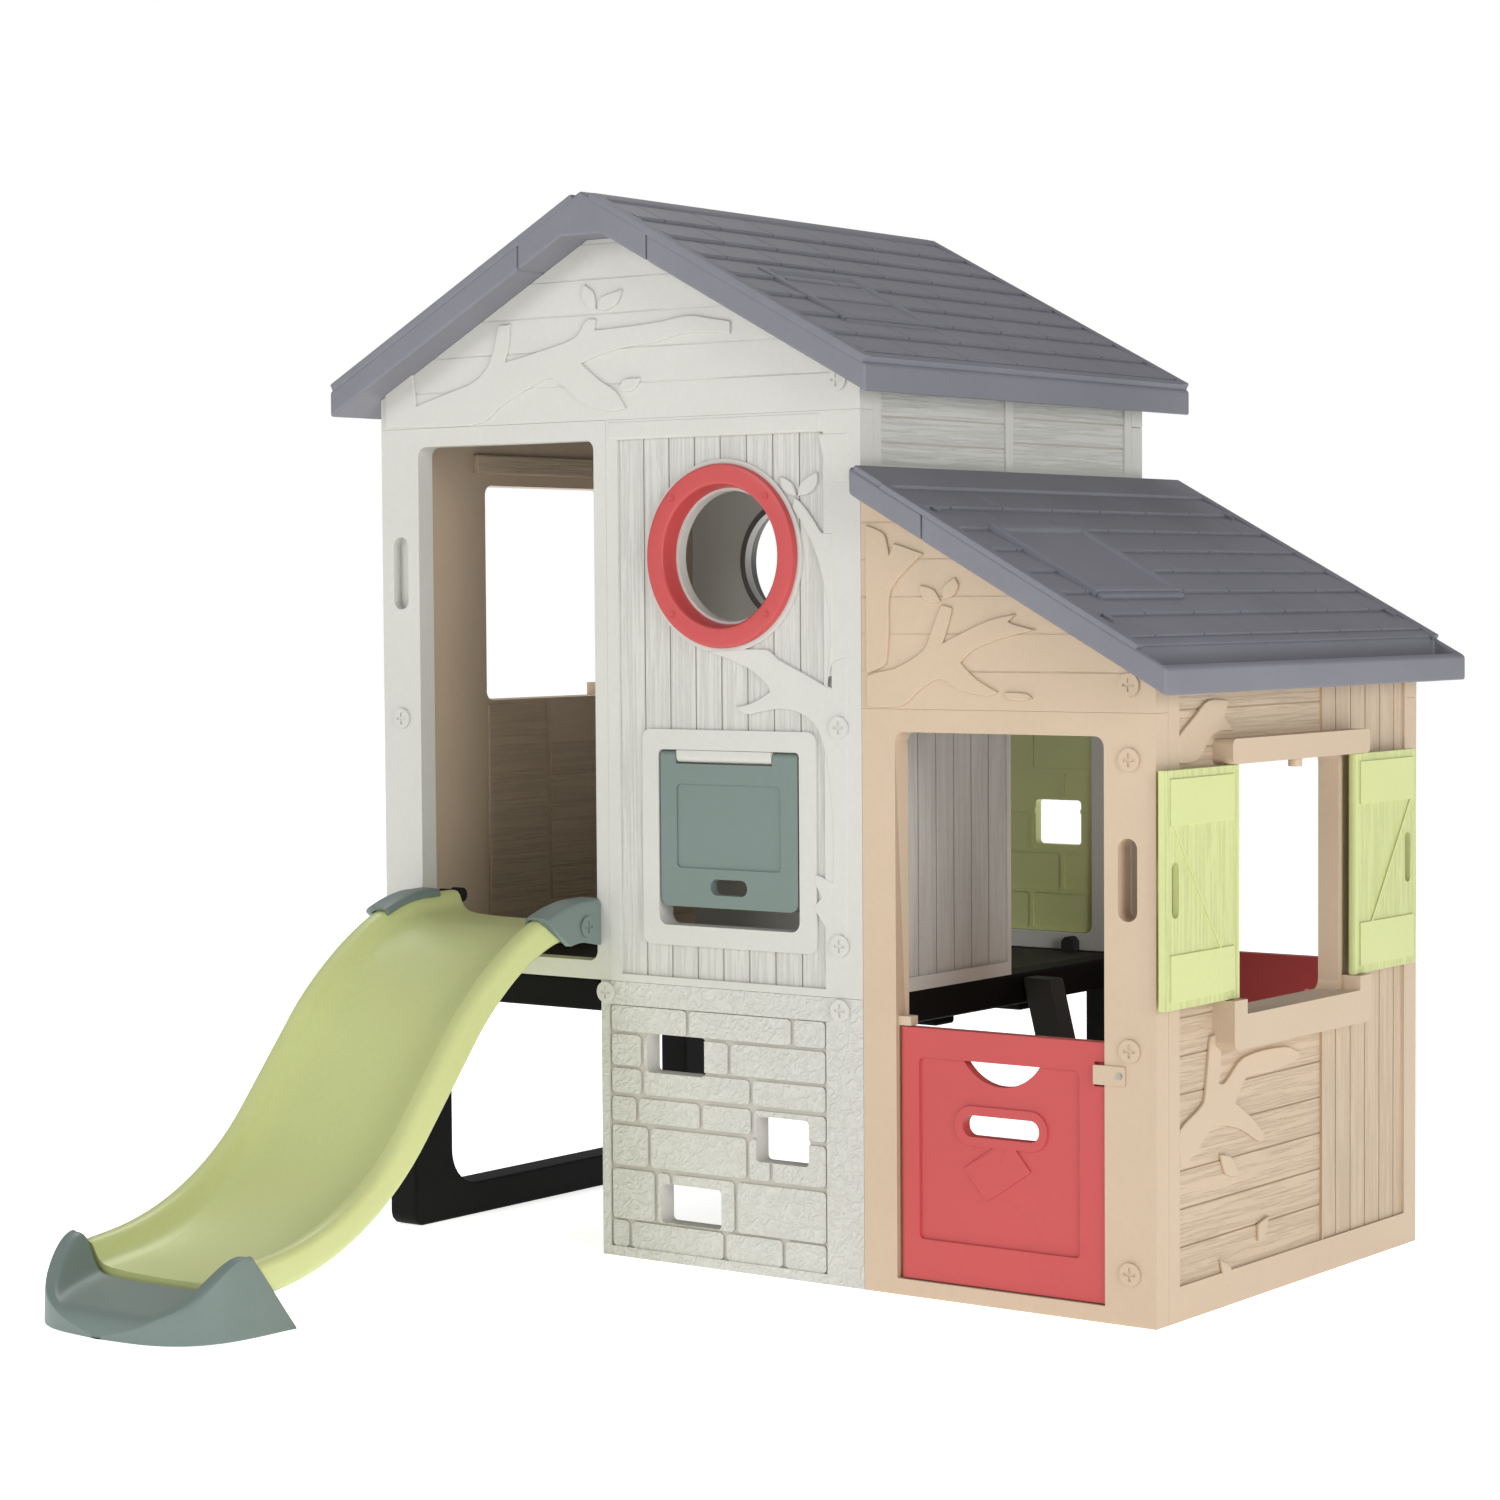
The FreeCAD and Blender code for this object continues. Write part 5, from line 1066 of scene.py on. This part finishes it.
def ring_profile(inner, outer, proud, back):
    """Half section of a window ring: a flat front band, a deep chamfer and a collar through the wall."""
    return [(inner, back), (inner, 23.0), (inner + 0.8, 22.0), (inner + 5.0, 22.0), (inner + 5.4, 20.0),
            (inner + 10.0, 5.0 - proud), (inner + 12.0, 1.6 - proud), (inner + 15.5, -proud), (outer - 7, -proud),
            (outer - 2.0, 2.2 - proud), (outer, 7.0 - proud), (outer, -0.4), (inner + 12.5, -0.4), (inner + 12.5, back)]


def ring_screw(place):
    """A small flat screw head with a sunk middle."""
    deselect()
    bpy.ops.mesh.primitive_cylinder_add(vertices=24, radius=6 * MM, depth=4 * MM, rotation=(math.pi / 2, 0, 0), location=place)
    screw = bpy.context.object
    bpy.ops.object.mode_set(mode="EDIT")
    select_parts(screw, "faces", lambda f: len(f.verts) > 4)
    bpy.ops.mesh.inset(thickness=1.4 * MM, depth=0)
    bpy.ops.mesh.inset(thickness=0.8 * MM, depth=-1.2 * MM)
    bpy.ops.object.mode_set(mode="OBJECT")
    return screw


def flatten_letter(shell):
    """Sinks the plain raised diamond under the door's slot; a letter shape takes its place."""
    face = node_box("half_door")[0].y

    def on_diamond(vertex):
        place = (vertex.co - HOUSE) / MM
        return 1.5 < place.y - face < 4.5 and 150 < place.z < 268.5
    if select_parts(shell, "verts", on_diamond):
        bpy.ops.transform.translate(value=(0, 3.0 * MM, 0))
        bpy.ops.mesh.select_all(action="SELECT")
        bpy.ops.mesh.remove_doubles(threshold=0.05 * MM)
        bpy.ops.mesh.dissolve_limited(angle_limit=FLAT)


class PLAYHOUSE_OT_openings(bpy.types.Operator):
    """Shapes the half door, hatch, shutters, barrier, play panel and the round windows' rings"""
    bl_idname = "playhouse.openings"
    bl_label = "Doors, shutters and rings"

    def execute(self, context):
        for node, slot, names in (
                ("half_door", "red", ["red_smooth"]), ("hatch_flap", "sage", ["sage_smooth"]),
                ("rear_play_panel", "red", ["red_smooth"]), ("rear_barrier", "lime", ["lime_smooth"]),
                ("hatch_hinge_bar", "white", ["white_smooth"]), ("window_knob", "beige", ["beige_smooth"]),
                ("door_catch", "beige", ["beige_smooth"])):
            soften(node, slot, names, edge=0.8 * MM if node in ("door_catch", "window_knob") else None,
                   prepare=flatten_letter if node == "half_door" else None)
        for node in ("shutter_front", "shutter_rear"):
            outer = node_box(node)[1].x

            # 2 marks the grooves, which get the darker lime finish as painted shade.
            def boards(centre, normal, outer=outer):
                depth = outer - centre.x
                if depth < 0.8 or depth > 9:
                    return 0
                return 1 if abs(normal.x) > 0.8 and depth < 4.6 else 2
            soften(node, "lime", ["lime_smooth", "lime_upright", "lime_groove"], where_finish=boards, edge=1.4 * MM)

        for node, slot, finish_name, face_y, side in (("front_window_ring", "red", "red_smooth", 0.0, -1),
                                                      ("rear_window_ring", "ring_grey", "ring_grey_smooth", DEPTH, 1)):
            low, high = node_box(node)
            centre_x, centre_z = (low.x + high.x) / 2, (low.z + high.z) / 2
            outer = (high.x - low.x) / 2
            proud = face_y - low.y if side < 0 else high.y - face_y
            back = high.y - face_y if side < 0 else face_y - low.y
            profile = ring_profile(outer - RING_WIDTH, outer, proud, back)
            deselect()
            bpy.ops.mesh.primitive_circle_add(vertices=len(profile), radius=0.1, fill_type="NOTHING")
            ring = bpy.context.object
            for vertex, (radius, depth) in zip(ring.data.vertices, profile):
                vertex.co = at(centre_x + radius, face_y - side * depth, centre_z)
            bpy.ops.object.mode_set(mode="EDIT")
            bpy.ops.mesh.select_all(action="SELECT")
            bpy.ops.mesh.spin(steps=72, angle=2 * math.pi, center=at(centre_x, face_y, centre_z), axis=(0, 1, 0))
            bpy.ops.object.mode_set(mode="OBJECT")
            mend(ring)
            screw_way = outer - 17
            screws = [ring_screw(at(centre_x + screw_way * math.cos(angle), face_y + side * (proud - 0.4),
                                    centre_z + screw_way * math.sin(angle)))
                      for angle in (math.radians(45 + 90 * quarter) for quarter in range(4))]
            ring = merge([*screws, ring])
            dress(ring, finish_name, "white_smooth")
            for face in ring.data.polygons:
                place = (face.center - HOUSE) / MM
                reach = math.hypot(place.x - centre_x, place.z - centre_z)
                face.material_index = int(reach < outer - RING_WIDTH + 5.7 and -side * (place.y - face_y) > 21.0)
            smooth(ring, 40)
            settle(ring, node + "_shell", "house", slot, [node])
        return {"FINISHED"}


# ---------------------------------------------------------------- screws and small fittings
SMALL_PARTS = {
    "screws_tower_front": "white_smooth", "screws_tower_rear": "white_smooth", "screws_ext_front": "beige_smooth",
    "screws_ext_rear": "beige_smooth", "screws_slide": "sage_smooth", "wall_clips": "charcoal_smooth",
    "deck_lug": "charcoal_smooth", "catch_screw": "plated_steel"}


class PLAYHOUSE_OT_fittings(bpy.types.Operator):
    """Gives the screws, clips and lug their finishes"""
    bl_idname = "playhouse.fittings"
    bl_label = "Screws and fittings"

    def execute(self, context):
        made = finishes()
        for node, name in SMALL_PARTS.items():
            piece = frame["nodes"][node]
            piece.data.materials.clear()
            piece.data.materials.append(made[name])
        return {"FINISHED"}


# ---------------------------------------------------------------- studio
LIGHTS = (("key", (-3.0, -8.0, 4.8), 3.4, 225.0), ("fill", (7.0, -2.6, 2.3), 2.8, 212.0),
          ("back", (-3.5, 3.0, 6.4), 3.4, 170.0))  # name, place, size and power
SKY_LEVEL = 0.29  # how much the pale surround lights the house; the camera sees it at 1
CAMERA_PLACE, CAMERA_LENS = at(3369.5, -4859.0, 1194.5), 83.16
CAMERA_TURNS = math.radians(36.59), math.radians(2.56), math.radians(-0.39)  # yaw, pitch and roll


class PLAYHOUSE_OT_studio(bpy.types.Operator):
    """Lays the floor and sets the lights and the camera"""
    bl_idname = "playhouse.studio"
    bl_label = "Studio"

    def execute(self, context):
        deselect()
        bpy.ops.mesh.primitive_circle_add(vertices=96, radius=40.0, fill_type="TRIFAN", location=(0, 0, -0.0005))
        floor = bpy.context.object
        floor.name = "studio_floor"
        fix_place(floor)
        dress(floor, "studio_floor")

        world = bpy.data.worlds.new("studio_light")
        context.scene.world = world
        world.use_nodes = True
        nodes, links = world.node_tree.nodes, world.node_tree.links
        sky = nodes["Background"]
        sky.inputs["Color"].default_value = (1.0, 1.0, 1.0, 1.0)
        seen = nodes.new("ShaderNodeLightPath")
        level = nodes.new("ShaderNodeMapRange")
        level.inputs["To Min"].default_value, level.inputs["To Max"].default_value = SKY_LEVEL, 1.0
        links.new(seen.outputs["Is Camera Ray"], level.inputs["Value"])
        links.new(level.outputs["Result"], sky.inputs["Strength"])
        centre = (CAD_BOX[0] + CAD_BOX[1]) / 2
        for name, place, size, power in LIGHTS:
            deselect()
            bpy.ops.object.light_add(type="AREA", location=Vector(place))
            lamp = bpy.context.object
            lamp.name = "light_" + name
            lamp.data.size, lamp.data.energy = size, power
            lamp.rotation_euler = (centre - lamp.location).to_track_quat("-Z", "Y").to_euler()

        deselect()
        bpy.ops.object.camera_add(location=CAMERA_PLACE)
        camera = bpy.context.object
        camera.name = "view_camera"
        yaw, pitch, roll = CAMERA_TURNS
        right = Vector((math.cos(yaw), math.sin(yaw), 0))
        ahead = Vector((-math.sin(yaw) * math.cos(pitch), math.cos(yaw) * math.cos(pitch), -math.sin(pitch)))
        up = right.cross(ahead)
        camera.matrix_world = Matrix((right * math.cos(roll) + up * math.sin(roll),
                                      up * math.cos(roll) - right * math.sin(roll), -ahead)).transposed().to_4x4()
        camera.location = CAMERA_PLACE
        camera.data.lens, camera.data.sensor_width = CAMERA_LENS, 36.0
        camera.data.clip_start, camera.data.clip_end = 0.05, 200.0
        context.scene.camera = camera
        context.scene.view_settings.view_transform = "Standard"
        return {"FINISHED"}


class PLAYHOUSE_PT_panel(bpy.types.Panel):
    """Shows the playhouse's steps and settings in the sidebar"""
    bl_idname = "PLAYHOUSE_PT_panel"
    bl_label = "Playhouse"
    bl_space_type = "VIEW_3D"
    bl_region_type = "UI"
    bl_category = "Playhouse"

    def draw(self, context):
        for operator in OPERATORS:
            self.layout.operator(operator.bl_idname)
        for group in (context.scene.playhouse_sizes, context.scene.playhouse_colours):
            for name in group.__annotations__:
                self.layout.prop(group, name)


OPERATORS = (PLAYHOUSE_OT_walls, PLAYHOUSE_OT_shapes, PLAYHOUSE_OT_base, PLAYHOUSE_OT_roof, PLAYHOUSE_OT_slide,
             PLAYHOUSE_OT_openings, PLAYHOUSE_OT_fittings, PLAYHOUSE_OT_studio)
CLASSES = (PlayhouseColours, PlayhouseSizes, *OPERATORS, PLAYHOUSE_PT_panel)


def register():
    for made in CLASSES:
        bpy.utils.register_class(made)
    bpy.types.Scene.playhouse_colours = PointerProperty(type=PlayhouseColours)
    bpy.types.Scene.playhouse_sizes = PointerProperty(type=PlayhouseSizes)


def unregister():
    del bpy.types.Scene.playhouse_sizes
    del bpy.types.Scene.playhouse_colours
    for made in reversed(CLASSES):
        bpy.utils.unregister_class(made)


def main():
    register()
    bpy.ops.playhouse.walls()
    bpy.ops.playhouse.shapes()
    bpy.ops.playhouse.base()
    bpy.ops.playhouse.roof()
    bpy.ops.playhouse.slide()
    bpy.ops.playhouse.openings()
    bpy.ops.playhouse.fittings()
    bpy.ops.playhouse.studio()
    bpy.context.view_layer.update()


if __name__ == "__main__":
    main()
